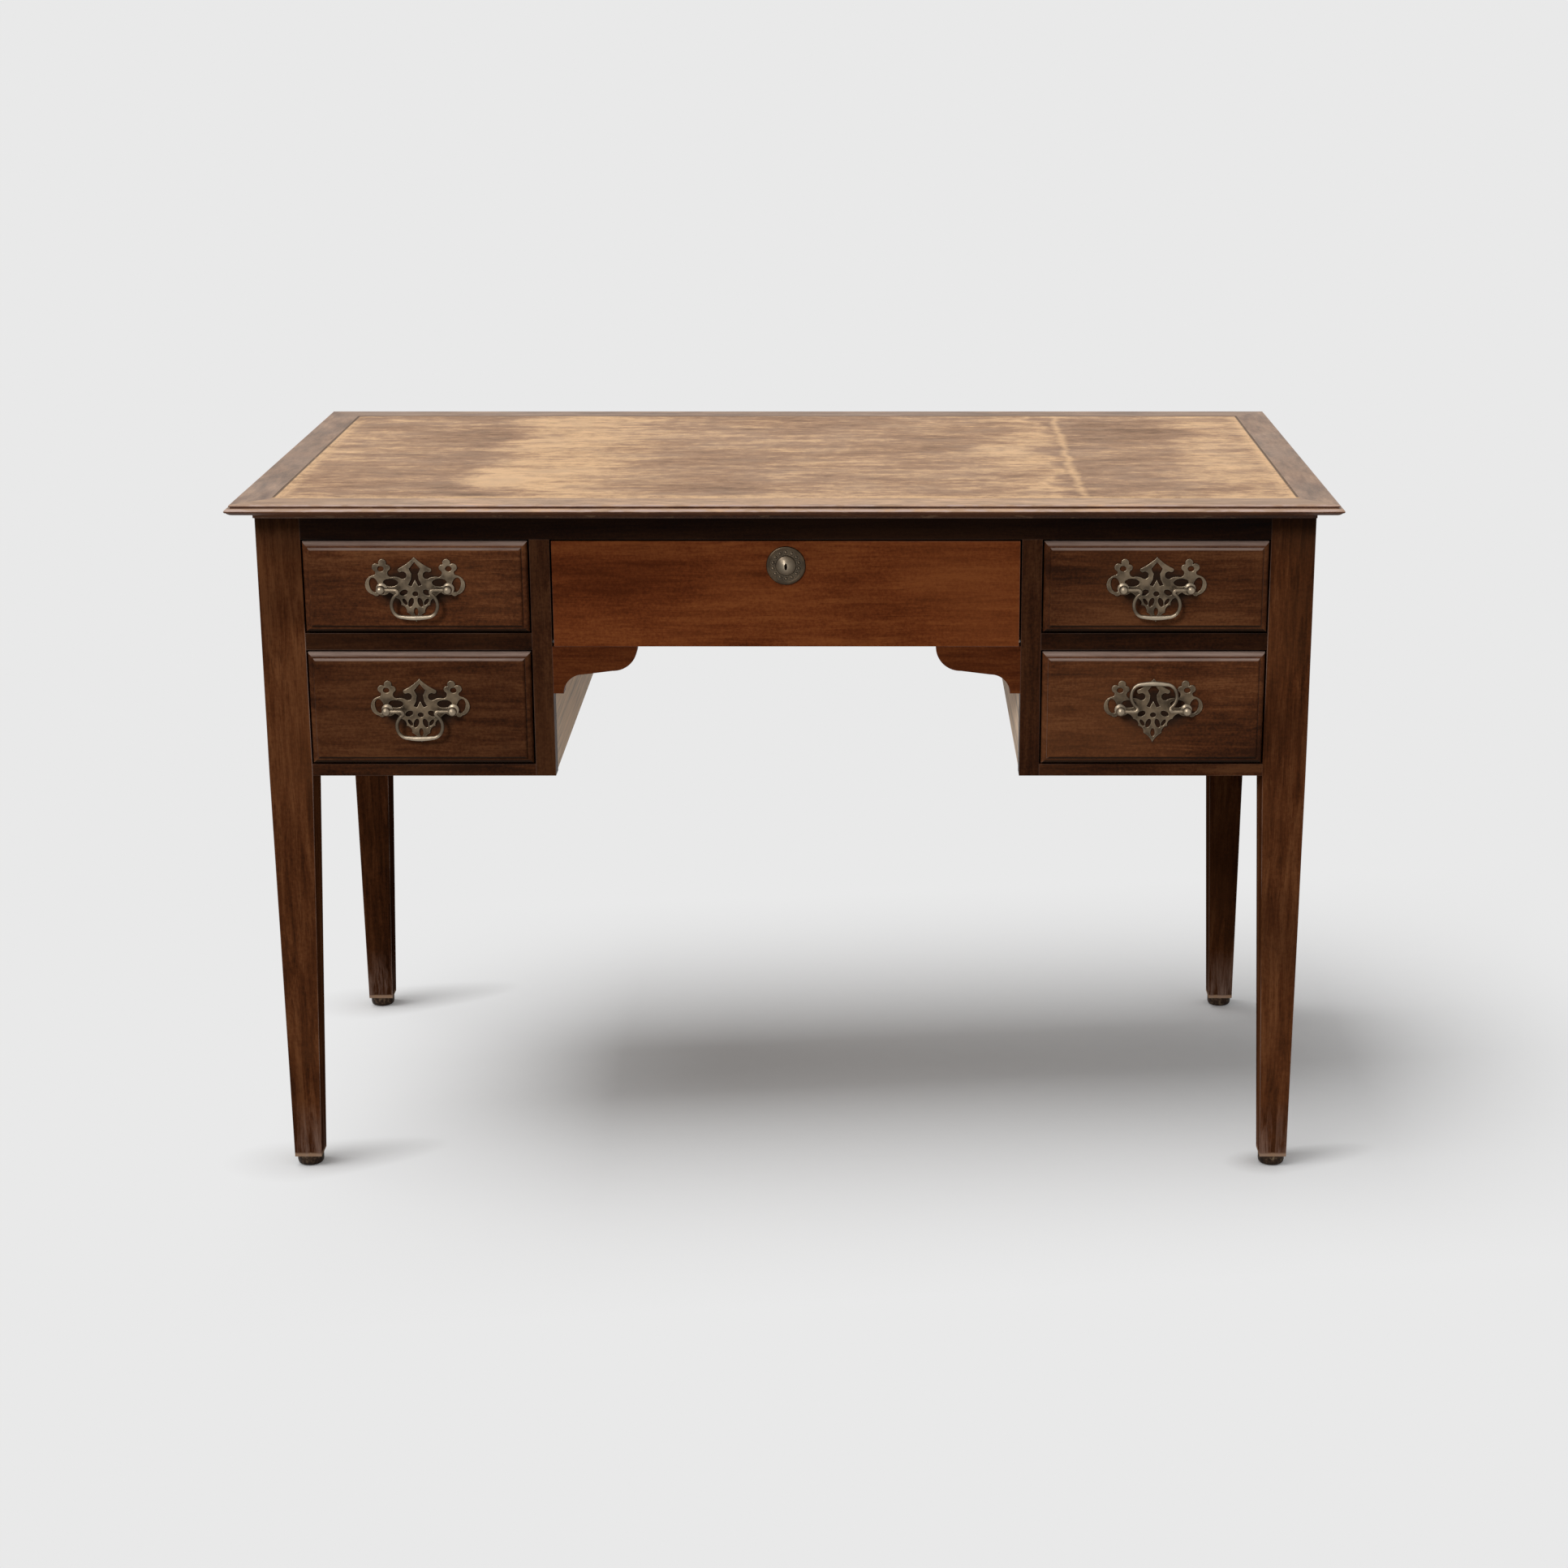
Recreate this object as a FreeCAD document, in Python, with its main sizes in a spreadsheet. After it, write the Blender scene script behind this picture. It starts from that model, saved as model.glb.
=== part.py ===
import FreeCAD
import Part
import Sketcher
import math
import os
import re

# A kneehole writing desk: a moulded top with an inset hide on four tapered legs, two banks of drawers
# and a middle drawer over the kneehole. X runs to the right, Y away from the sitter and Z up. The
# origin is on the floor under the middle of the top.

# Driving sizes, in millimetres
SIZES = {
    # Top
    "top_width": 1170,
    "top_depth": 635,
    "desk_height": 765,
    "top_thickness": 18,
    "border_width": 42,
    "edge_reach": 26,
    "hide_thickness": 1.5,
    "side_overhang": 23,
    "front_overhang": 43.5,
    "back_overhang": 43.5,
    # Legs and feet
    "leg_width": 47,
    "foot_width": 30,
    "leg_outer_taper": 3,
    "glide_height": 12,
    "glide_radius": 14.8,
    "glide_flat_radius": 10,
    "glide_dome_height": 7.5,
    # Front frame, from the top down
    "top_rail_height": 26.5,
    "upper_drawer_height": 98,
    "mid_rail_height": 18.5,
    "lower_drawer_height": 123,
    "bottom_rail_height": 13,
    "middle_drawer_height": 114.5,
    "drawer_gap": 2,
    "rail_thickness": 22,
    "kneehole_width": 502,
    "stile_width": 21.5,
    # Corner brackets
    "bracket_width": 91,
    "bracket_height": 52,
    "bracket_toe": 11,
    "bracket_cove_radius": 21,
    "bracket_nose_radius": 27,
    "bracket_thickness": 20,
    # Panels and boards
    "end_panel_thickness": 16,
    "end_panel_setback": 3,
    "kneehole_panel_thickness": 15,
    "kneehole_panel_setback": 1,
    "back_thickness": 12,
    "back_setback": 3,
    "bottom_board_thickness": 8,
    # Runners and guides
    "runner_width": 14,
    "runner_thickness": 14,
    "guide_height": 14,
    "running_clearance": 0.3,
    # Drawers
    "front_thickness": 20,
    "front_proud": 7.5,
    "front_lip": 4.5,
    "front_lip_width": 6,
    "front_lip_radius": 5,
    "front_field_radius": 2.8,
    "drawer_side_thickness": 10,
    "drawer_back_thickness": 10,
    "drawer_bottom_thickness": 5,
    "drawer_bottom_lift": 6,
    "drawer_groove_depth": 4,
    "drawer_side_drop": 6,
    "middle_side_lift": 16,
    # Handles
    "plate_width": 108,
    "plate_height": 71,
    "plate_thickness": 1.6,
    "post_spacing": 71,
    "post_reach": 9,
    "ball_radius": 5,
    "collar_radius": 6,
    "collar_thickness": 2,
    "neck_radius": 3,
    "bolt_radius": 2.2,
    "bolt_end": 2,
    "nut_radius": 5.5,
    "nut_thickness": 4,
    "hole_clearance": 0.1,
    "bail_drop": 30,
    "bail_radius": 2.1,
    "bail_bar_radius": 2.7,
    "bail_pin_reach": 2.5,
    "pin_clearance": 0.05,
    # Keyhole rosette and lock
    "rosette_radius": 21,
    "rosette_thickness": 1.4,
    "rosette_rim_radius": 1.5,
    "rosette_bead_radius": 1.5,
    "rosette_boss_radius": 8.5,
    "rosette_boss_height": 5,
    "rosette_drop": 26,
    "keyhole_width": 2.4,
    "keyhole_height": 7,
    "lock_width": 64,
    "lock_height": 42,
    "lock_thickness": 12,
    "bolt_plate_width": 20,
    "bolt_plate_height": 22,
    "bolt_plate_thickness": 5,
    "bolt_travel": 8,
    "bolt_inset": 0.5,
    "cut_overrun": 3,
}

# Levels and faces that follow from the driving sizes
WORKED_OUT = {
    "half_width": "(top_width / 2 - side_overhang)",
    "front_face": "(front_overhang - top_depth / 2)",
    "back_face": "(top_depth / 2 - back_overhang)",
    "under_top": "(desk_height - top_thickness)",
    "top_rail_low": "(under_top - top_rail_height)",
    "upper_high": "(top_rail_low - drawer_gap)",
    "upper_low": "(upper_high - upper_drawer_height)",
    "mid_rail_high": "(upper_low - drawer_gap)",
    "mid_rail_low": "(mid_rail_high - mid_rail_height)",
    "lower_high": "(mid_rail_low - drawer_gap)",
    "lower_low": "(lower_high - lower_drawer_height)",
    "bottom_rail_high": "(lower_low - drawer_gap)",
    "carcase_low": "(bottom_rail_high - bottom_rail_height)",
    "middle_low": "(upper_high - middle_drawer_height)",
    "leg_inner": "(half_width - leg_width)",
    "leg_back": "(front_face + leg_width)",
    "rear_leg_front": "(back_face - leg_width)",
    "stile_inner": "(kneehole_width / 2)",
    "stile_outer": "(stile_inner + stile_width)",
    "rail_back": "(front_face + rail_thickness)",
    "panel_inner": "(stile_inner + kneehole_panel_setback)",
    "panel_outer": "(panel_inner + kneehole_panel_thickness)",
    "end_outer": "(half_width - end_panel_setback)",
    "end_inner": "(end_outer - end_panel_thickness)",
    "back_outer": "(back_face - back_setback)",
    "back_inner": "(back_outer - back_thickness)",
    "bank_low": "(stile_outer + drawer_gap)",
    "bank_high": "(leg_inner - drawer_gap)",
    "bank_centre": "((bank_low + bank_high) / 2)",
    "bank_front": "(front_face - front_proud)",
    "bank_front_back": "(bank_front + front_thickness)",
    "middle_half": "(stile_inner - drawer_gap)",
    "middle_front_back": "(front_face + front_thickness)",
    "middle_side_low": "(middle_low + middle_side_lift)",
    "drawer_end": "(back_inner - running_clearance)",
    "plate_face": "(bank_front - plate_thickness)",
    "pivot_y": "(plate_face - post_reach)",
    "bolt_hole_radius": "(bolt_radius + hole_clearance)",
    "rosette_level": "(upper_high - rosette_drop)",
    "lock_front": "(middle_front_back - lock_thickness)",
    "bolt_plate_y": "(middle_front_back - lock_thickness / 2)",
    "bolt_plate_high": "(upper_high - bolt_inset)",
}

# Moulded edge of the top, from the upper arris round the nose to the inner face. Shares of the edge's
# reach inwards and of the top's thickness downwards; a third entry is a point that an arc passes.
EDGE_SHARES = [
    (0.25, 0.00, (0.19, 0.03)),
    (0.17, 0.12),
    (0.22, 0.14),
    (0.22, 0.22),
    (0.16, 0.23, (0.05, 0.26)),
    (0.00, 0.36, (0.015, 0.43)),
    (0.07, 0.46, (0.20, 0.60)),
    (0.40, 0.65),
    (0.96, 0.65),
    (0.96, 1.00),
]

# Right half of a handle's plate, from the peak round the wing to the lower tip. Shares of half the
# plate's width and of its height, from the middle of the line between the posts.
PLATE_SHARES = [
    (0.000, 0.479, (0.148, 0.380)),
    (0.315, 0.310, (0.330, 0.268)),
    (0.268, 0.246, (0.157, 0.183)),
    (0.260, 0.127, (0.390, 0.135)),
    (0.537, 0.169, (0.574, 0.246)),
    (0.490, 0.310, (0.509, 0.366)),
    (0.583, 0.373, (0.630, 0.451)),
    (0.694, 0.373, (0.824, 0.359)),
    (0.778, 0.275, (0.760, 0.236)),
    (0.796, 0.197, (1.000, 0.042)),
    (0.815, -0.113, (0.648, -0.190)),
    (0.500, -0.169, (0.398, -0.190)),
    (0.352, -0.268, (0.324, -0.366)),
    (0.194, -0.394, (0.139, -0.486)),
    (0.000, -0.521),
]

# Round piercings of a plate: shares of half its width and of its height, and the radius as a share of
# its height. Those off the middle line are made on both sides.
PIERCING_SHARES = [
    (0.000, 0.300, 0.050),
    (0.000, 0.185, 0.030),
    (0.000, -0.085, 0.031),
    (0.000, -0.350, 0.034),
    (0.095, -0.218, 0.035),
    (0.240, -0.085, 0.042),
    (0.250, -0.211, 0.030),
    (0.400, 0.063, 0.045),
    (0.640, 0.303, 0.036),
    (0.855, 0.050, 0.048),
]

# Corners of a bail's right half, from its pin to the bar: shares of half the post spacing and of the
# bail's drop, with the bend's radius as a share of the drop.
BAIL_SHARES = [
    (0.44, 0.00, 0.115),
    (0.72, -0.42, 0.300),
    (0.66, -1.00, 0.230),
]
BAIL_BAR_SHARE = 0.45

ROSETTE_BEADS = 18
ROSETTE_BEAD_SHARE = 0.64
ROSETTE_TIP_SHARE = 0.3
NUT_SIDES = 6

SIDES = {"left": -1, "right": 1}
DEPTHS = {"front": -1, "back": 1}
LEVELS = {"upper": ("upper_low", "upper_high"), "lower": ("lower_low", "lower_high")}
TIPPED_UP = "lower_right"

X_AXIS = FreeCAD.Vector(1, 0, 0)
Y_AXIS = FreeCAD.Vector(0, 1, 0)
Z_AXIS = FreeCAD.Vector(0, 0, 1)
TURN_TO = {
    "x": FreeCAD.Rotation(Y_AXIS, 90),
    "y": FreeCAD.Rotation(X_AXIS, -90),
    "z": FreeCAD.Rotation(),
}

doc = FreeCAD.newDocument("kneehole_desk")
sheet = doc.addObject("Spreadsheet::Sheet", "Sheet")
nodes = []


def fill_sheet():
    """Writes each driving size to the sheet under its own alias."""
    for row, (alias, value) in enumerate(SIZES.items(), 1):
        sheet.set(f"A{row}", alias)
        sheet.set(f"B{row}", str(value))
        sheet.setAlias(f"B{row}", alias)
    doc.recompute()


def bound(formula):
    """Turns a formula in size names into an expression on the sheet."""
    def spell(word):
        name = word.group(0)
        if name in WORKED_OUT:
            return bound(WORKED_OUT[name])
        return "Sheet." + name if name in SIZES else name
    return re.sub(r"[a-z_]+", spell, formula)


def value(formula):
    """The present value of a formula."""
    return float(sheet.evalExpression(bound(formula).replace("Sheet.", "")))


def tie(piece, **formulas):
    """Binds properties of a piece to formulas."""
    for prop, formula in formulas.items():
        piece.setExpression(prop, bound(formula))
    return piece


def put(piece, x, y, z):
    """Binds the place of a piece to three formulas."""
    for axis, formula in zip("xyz", (x, y, z)):
        piece.setExpression("Placement.Base." + axis, bound(formula))
    return piece


def node(name, piece):
    """Names a finished sub-part."""
    piece.Label = name
    nodes.append(piece)
    return piece


def board(name, x, y, z):
    """A square-edged board that spans each pair of formulas."""
    piece = doc.addObject("Part::Box", name)
    tie(piece, Length=f"{x[1]} - ({x[0]})", Width=f"{y[1]} - ({y[0]})", Height=f"{z[1]} - ({z[0]})")
    return put(piece, x[0], y[0], z[0])


def side_board(name, side, x, y, z):
    """A board given for the right side, or its mirror image on the left."""
    if side < 0:
        x = (f"-({x[1]})", f"-({x[0]})")
    return board(name, x, y, z)


def rod(name, axis, radius, length, x, y, z):
    """A cylinder from a point, along one axis."""
    piece = doc.addObject("Part::Cylinder", name)
    piece.Placement = FreeCAD.Placement(FreeCAD.Vector(), TURN_TO[axis])
    tie(piece, Radius=radius, Height=length)
    return put(piece, x, y, z)


def cone(name, axis, radius, end_radius, length, x, y, z):
    """A cone from a point, along one axis."""
    piece = doc.addObject("Part::Cone", name)
    piece.Placement = FreeCAD.Placement(FreeCAD.Vector(), TURN_TO[axis])
    tie(piece, Radius1=radius, Radius2=end_radius, Height=length)
    return put(piece, x, y, z)


def ball(name, radius, x, y, z):
    """A sphere about a point."""
    piece = doc.addObject("Part::Sphere", name)
    tie(piece, Radius=radius)
    return put(piece, x, y, z)


def joined(name, pieces):
    """One solid of several."""
    piece = doc.addObject("Part::MultiFuse", name)
    piece.Shapes = pieces
    return piece


def group(name, pieces):
    """Several solids side by side in one sub-part."""
    piece = doc.addObject("Part::Compound", name)
    piece.Links = pieces
    return piece


def cut(name, base, tools):
    """A piece with other shapes taken out of it."""
    piece = doc.addObject("Part::Cut", name)
    piece.Base = base
    piece.Tool = tools[0] if len(tools) == 1 else group(name + "_tools", tools)
    return piece


def shared(name, base, tool):
    """What two shapes have in common."""
    piece = doc.addObject("Part::Common", name)
    piece.Base = base
    piece.Tool = tool
    return piece


def outline_body(name, plane, corners, thickness):
    """A flat piece padded from a closed outline. A corner is a pair of formulas, with a third entry
    where the stretch to the next corner is an arc: the pair of formulas that it passes."""
    body = doc.addObject("PartDesign::Body", name)
    sketch = body.newObject("Sketcher::SketchObject", name + "_outline")
    support = [part for part in body.Origin.OriginFeatures if part.Role == plane][0]
    sketch.AttachmentSupport = [(support, "")]
    sketch.MapMode = "FlatFace"
    points = [FreeCAD.Vector(value(corner[0]), value(corner[1]), 0) for corner in corners]
    ends = []
    for index, corner in enumerate(corners):
        start = points[index]
        end = points[(index + 1) % len(points)]
        forward = True
        if len(corner) > 2:
            passed = FreeCAD.Vector(value(corner[2][0]), value(corner[2][1]), 0)
            forward = (passed - start).cross(end - passed).z > 0
            curve = Part.ArcOfCircle(start, passed, end) if forward else Part.ArcOfCircle(end, passed, start)
        else:
            curve = Part.LineSegment(start, end)
        edge = sketch.addGeometry(curve)
        ends.append((edge, 1, 2) if forward else (edge, 2, 1))
    for (edge, start, end), (following, first, last) in zip(ends, ends[1:] + ends[:1]):
        sketch.addConstraint(Sketcher.Constraint("Coincident", edge, end, following, first))
    for (edge, start, end), corner, point in zip(ends, corners, points):
        for kind, formula, place in zip(("DistanceX", "DistanceY"), corner, point):
            index = sketch.addConstraint(Sketcher.Constraint(kind, -1, 1, edge, start, place))
            sketch.setExpression(f"Constraints[{index}]", bound(formula))
    pad = body.newObject("PartDesign::Pad", name + "_pad")
    pad.Profile = sketch
    tie(pad, Length=thickness)
    return body


def top_pieces():
    """The board under the hide, the hide, and the four mitred lengths of moulded border."""
    x = ("border_width - top_width / 2", "top_width / 2 - border_width")
    y = ("border_width - top_depth / 2", "top_depth / 2 - border_width")
    bed = "desk_height - hide_thickness"
    node("top_panel", board("top_board", x, y, ("under_top", bed)))
    node("writing_hide", board("hide", x, y, (bed, "desk_height")))
    profile = []
    for along, down, *passed in EDGE_SHARES:
        corner = [f"edge_reach * {along}", f"-top_thickness * {down}"]
        corner += [(f"edge_reach * {inner}", f"-top_thickness * {lower}") for inner, lower in passed]
        profile.append(corner)
    profile += [("border_width", "-top_thickness"), ("border_width", "0 * border_width")]
    edges = {"front": ("top_width", 0), "right": ("top_depth", 90), "back": ("top_width", 180),
             "left": ("top_depth", 270)}
    for edge, (length, turn) in edges.items():
        name = f"border_{edge}"
        bar = put(outline_body(name + "_bar", "YZ_Plane", profile, length), f"-{length} / 2", "0", "0")
        plan = [(f"-{length} / 2", "0 * border_width"), (f"{length} / 2", "0 * border_width"),
                (f"{length} / 2 - border_width", "border_width"),
                (f"border_width - {length} / 2", "border_width")]
        mitres = outline_body(name + "_plan", "XY_Plane", plan, "top_thickness")
        piece = shared(name, bar, put(mitres, "0", "0", "-top_thickness"))
        piece.Placement = FreeCAD.Placement(FreeCAD.Vector(), FreeCAD.Rotation(Z_AXIS, turn))
        out_x = {"right": "top_width / 2", "left": "-top_width / 2"}.get(edge, "0")
        out_y = {"front": "-top_depth / 2", "back": "top_depth / 2"}.get(edge, "0")
        node("top_" + name, put(piece, out_x, out_y, "desk_height"))


def leg(depth_name, side_name):
    """A leg: square beside the drawers, then tapered more on its inner faces than its outer ones."""
    depth, side = DEPTHS[depth_name], SIDES[side_name]
    name = f"{depth_name}_{side_name}_leg"
    face = "-front_face" if depth < 0 else "back_face"
    y = ("front_face", "leg_back") if depth < 0 else ("rear_leg_front", "back_face")
    square = side_board(name + "_square", side, ("leg_inner", "half_width"), y, ("carcase_low", "under_top"))
    taper = doc.addObject("Part::Wedge", name + "_taper")
    taper.Placement = FreeCAD.Placement(FreeCAD.Vector(), FreeCAD.Rotation(X_AXIS, 90))
    across = {"x": ("half_width", side), "z": (face, -depth)}
    limits = {}
    for axis, (outer, sign) in across.items():
        foot = (f"{outer} - leg_outer_taper - foot_width", f"{outer} - leg_outer_taper")
        knee = (f"{outer} - leg_width", outer)
        for number, (inside, outside) in (("", foot), ("2", knee)):
            low, high = (inside, outside) if sign > 0 else (f"-({outside})", f"-({inside})")
            limits[f"{axis.upper()}{number}min"] = low
            limits[f"{axis.upper()}{number}max"] = high
    tie(taper, Ymin="glide_height", Ymax="carcase_low", **limits)
    node(name, joined(name + "_solid", [square, taper]))


def glides():
    """Domed glides with a small flat, one under each foot."""
    pieces = []
    centre = "(glide_radius ^ 2 - glide_flat_radius ^ 2 + glide_dome_height ^ 2) / (2 * glide_dome_height)"
    for depth_name, depth in DEPTHS.items():
        for side_name, side in SIDES.items():
            name = f"glide_{depth_name}_{side_name}"
            x = f"{side} * (half_width - leg_outer_taper - foot_width / 2)"
            face = "front_face + leg_outer_taper" if depth < 0 else "back_face - leg_outer_taper"
            y = f"{face} - {depth} * foot_width / 2"
            drum = rod(name + "_drum", "z", "glide_radius", "glide_height", x, y, "0")
            dome = ball(name + "_dome", f"sqrt(glide_flat_radius ^ 2 + ({centre}) ^ 2)", x, y, centre)
            pieces.append(shared(name, drum, dome))
    node("foot_glides", group("glides", pieces))


def frame_pieces():
    """The front rails and stiles, the panels, the back and the bottom boards."""
    face = ("front_face", "rail_back")
    rail = board("top_rail_bar", ("-leg_inner", "leg_inner"), face, ("top_rail_low", "under_top"))
    reach = "bolt_travel - bolt_inset - drawer_gap + running_clearance"
    half = "bolt_plate_width / 2 + running_clearance"
    deep = "bolt_plate_thickness / 2 + running_clearance"
    mortise = board("bolt_mortise", (f"-({half})", half),
                    (f"bolt_plate_y - ({deep})", f"bolt_plate_y + {deep}"),
                    ("top_rail_low - cut_overrun", f"top_rail_low + {reach}"))
    node("front_top_rail", cut("top_rail", rail, [mortise]))
    spans = {
        "kneehole_stiles": (("stile_inner", "stile_outer"), face, ("carcase_low", "top_rail_low")),
        "mid_rails": (("stile_outer", "leg_inner"), face, ("mid_rail_low", "mid_rail_high")),
        "bottom_rails": (("stile_outer", "leg_inner"), face, ("carcase_low", "bottom_rail_high")),
        "bank_back_panels": (("panel_inner", "leg_inner"), ("back_inner", "back_outer"),
                             ("carcase_low", "middle_low")),
    }
    for name, span in spans.items():
        node(name, group(name + "_pair", [side_board(f"{name}_{word}", side, *span)
                                          for word, side in SIDES.items()]))
    node("back_rail", board("back_board", ("-leg_inner", "leg_inner"), ("back_inner", "back_outer"),
                            ("middle_low", "under_top")))
    bottoms = []
    for word, side in SIDES.items():
        node(f"{word}_end_panel", side_board(f"{word}_end", side, ("end_inner", "end_outer"),
                                             ("leg_back", "rear_leg_front"), ("carcase_low", "under_top")))
        node(f"{word}_kneehole_panel", side_board(f"{word}_kneehole", side, ("panel_inner", "panel_outer"),
                                                  ("rail_back", "back_inner"), ("carcase_low", "under_top")))
        floor = ("carcase_low", "carcase_low + bottom_board_thickness")
        name = f"{word}_bottom"
        sheet_board = side_board(name + "_board", side, ("panel_outer", "end_inner"),
                                 ("rail_back", "back_inner"), floor)
        corner = ("leg_inner", "half_width")
        notches = [side_board(name + "_front_notch", side, corner, ("front_face", "leg_back"), floor),
                   side_board(name + "_back_notch", side, corner, ("rear_leg_front", "back_face"), floor)]
        bottoms.append(cut(name, sheet_board, notches))
    node("bottom_boards", group("bottom_pair", bottoms))


def brackets():
    """The two shaped brackets under the middle drawer: a cove, a sloping step and a rounded nose."""
    step = "(bracket_height - bracket_cove_radius)"
    nose = "(bracket_width - bracket_nose_radius)"
    bend = math.sin(math.radians(45))
    top = "-running_clearance"
    cove_end = "bracket_toe + bracket_cove_radius"
    cove_bend = f"bracket_cove_radius * {bend}"
    nose_bend = f"bracket_nose_radius * {bend}"
    for word, side in SIDES.items():
        right_half = [
            ("0", top),
            ("0", "-bracket_height"),
            ("bracket_toe", "-bracket_height",
             (f"{cove_end} - {cove_bend}", f"{cove_bend} - bracket_height")),
            (cove_end, f"-{step}"),
            (nose, "-bracket_nose_radius", (f"{nose} + {nose_bend}", f"{top} - {nose_bend}")),
            ("bracket_width", top),
        ]
        corners = []
        for corner in right_half:
            turned = [f"-{side} * ({corner[0]})", corner[1]]
            turned += [(f"-{side} * ({passed[0]})", passed[1]) for passed in corner[2:]]
            corners.append(turned)
        body = outline_body(f"{word}_bracket", "XZ_Plane", corners, "bracket_thickness")
        put(body, f"{side} * stile_inner", "front_face + bracket_thickness", "middle_low")
        node(f"{word}_corner_bracket", body)


def runners():
    """The strips that carry the drawers, and the guides beside them."""
    strips = []
    bank_deep = ("leg_back", "rear_leg_front")
    knee_deep = ("rail_back", "back_inner")
    outer = ("bank_high - runner_width", "end_inner")
    inner = ("panel_outer", "bank_low + runner_width")
    for word, side in SIDES.items():
        for level, (low, high) in LEVELS.items():
            top = f"{low} - running_clearance"
            under = "carcase_low + bottom_board_thickness"
            if level == "upper":
                under = f"{top} - runner_thickness"
            guide = (top, f"{top} + guide_height")
            name = f"{level}_{word}"
            strips += [
                side_board(name + "_outer_runner", side, outer, bank_deep, (under, top)),
                side_board(name + "_inner_runner", side, inner, knee_deep, (under, top)),
                side_board(name + "_outer_guide", side, ("bank_high + running_clearance", "end_inner"),
                           bank_deep, guide),
                side_board(name + "_inner_guide", side, ("panel_outer", "bank_low - running_clearance"),
                           knee_deep, guide),
            ]
        top = "middle_side_low - running_clearance"
        strips.append(side_board(f"middle_{word}_runner", side, ("panel_inner - runner_width", "panel_inner"),
                                 knee_deep, (f"{top} - runner_thickness", top)))
    node("drawer_runners", group("runner_strips", strips))


def drawer_box(name, x, front_back, low, high):
    """The sides, back and bottom of a drawer, with the bottom let into grooves."""
    side_top = f"{high} - drawer_side_drop"
    inside = (f"{x[0]} + drawer_side_thickness", f"{x[1]} - drawer_side_thickness")
    floor = f"{low} + drawer_bottom_lift"
    floor_top = f"{floor} + drawer_bottom_thickness"
    deep = (front_back, "drawer_end")
    groove = "drawer_groove_depth"
    bottom = board(name + "_panel", (f"{inside[0]} - {groove}", f"{inside[1]} + {groove}"),
                   (f"{front_back} - {groove}", "drawer_end"), (floor, floor_top))
    pair = [board(name + "_low_side", (x[0], inside[0]), deep, (low, side_top)),
            board(name + "_high_side", (inside[1], x[1]), deep, (low, side_top))]
    node(name + "_sides", group(name + "_side_pair", [cut(side.Name + "_grooved", side, [bottom])
                                                     for side in pair]))
    node(name + "_back", board(name + "_rear", inside, ("drawer_end - drawer_back_thickness", "drawer_end"),
                               (floor_top, side_top)))
    node(name + "_bottom", bottom)
    return bottom


def rounded_front_edges(name, piece, size):
    """Rounds the four edges of a board's front face."""
    doc.recompute()
    front = piece.Shape.BoundBox.YMin
    rounded = doc.addObject("Part::Fillet", name)
    rounded.Base = piece
    radius = value(size)
    rounded.Edges = [(number, radius, radius) for number, edge in enumerate(piece.Shape.Edges, 1)
                     if edge.BoundBox.YMax - front < radius / 2]
    return rounded


def bank_drawer(level, word):
    """A bank drawer: its stepped, rounded front, its box and its handle."""
    side = SIDES[word]
    low, high = LEVELS[level]
    name = f"{level}_{word}_drawer"
    x = ("bank_low", "bank_high") if side > 0 else ("-bank_high", "-bank_low")
    bottom = drawer_box(name, x, "bank_front_back", low, high)
    lip = board(name + "_lip", x, ("front_face - front_lip", "bank_front_back"), (low, high))
    field = board(name + "_field", (f"{x[0]} + front_lip_width", f"{x[1]} - front_lip_width"),
                  ("bank_front", "bank_front_back"),
                  (f"{low} + front_lip_width", f"{high} - front_lip_width"))
    blank = joined(name + "_blank", [rounded_front_edges(name + "_round_lip", lip, "front_lip_radius"),
                                     rounded_front_edges(name + "_round_field", field, "front_field_radius")])
    centre = (f"{side} * bank_centre", f"({low} + {high}) / 2")
    through = "front_thickness + plate_thickness + 2 * cut_overrun"
    holes = [rod(f"{name}_hole_{end}", "y", "bolt_hole_radius", through,
                 f"{centre[0]} + {sign} * post_spacing / 2", "plate_face - cut_overrun", centre[1])
             for end, sign in SIDES.items()]
    node(name + "_front", cut(name + "_drilled", blank, [bottom] + holes))
    handle(f"{level}_{word}", centre, holes)


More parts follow.
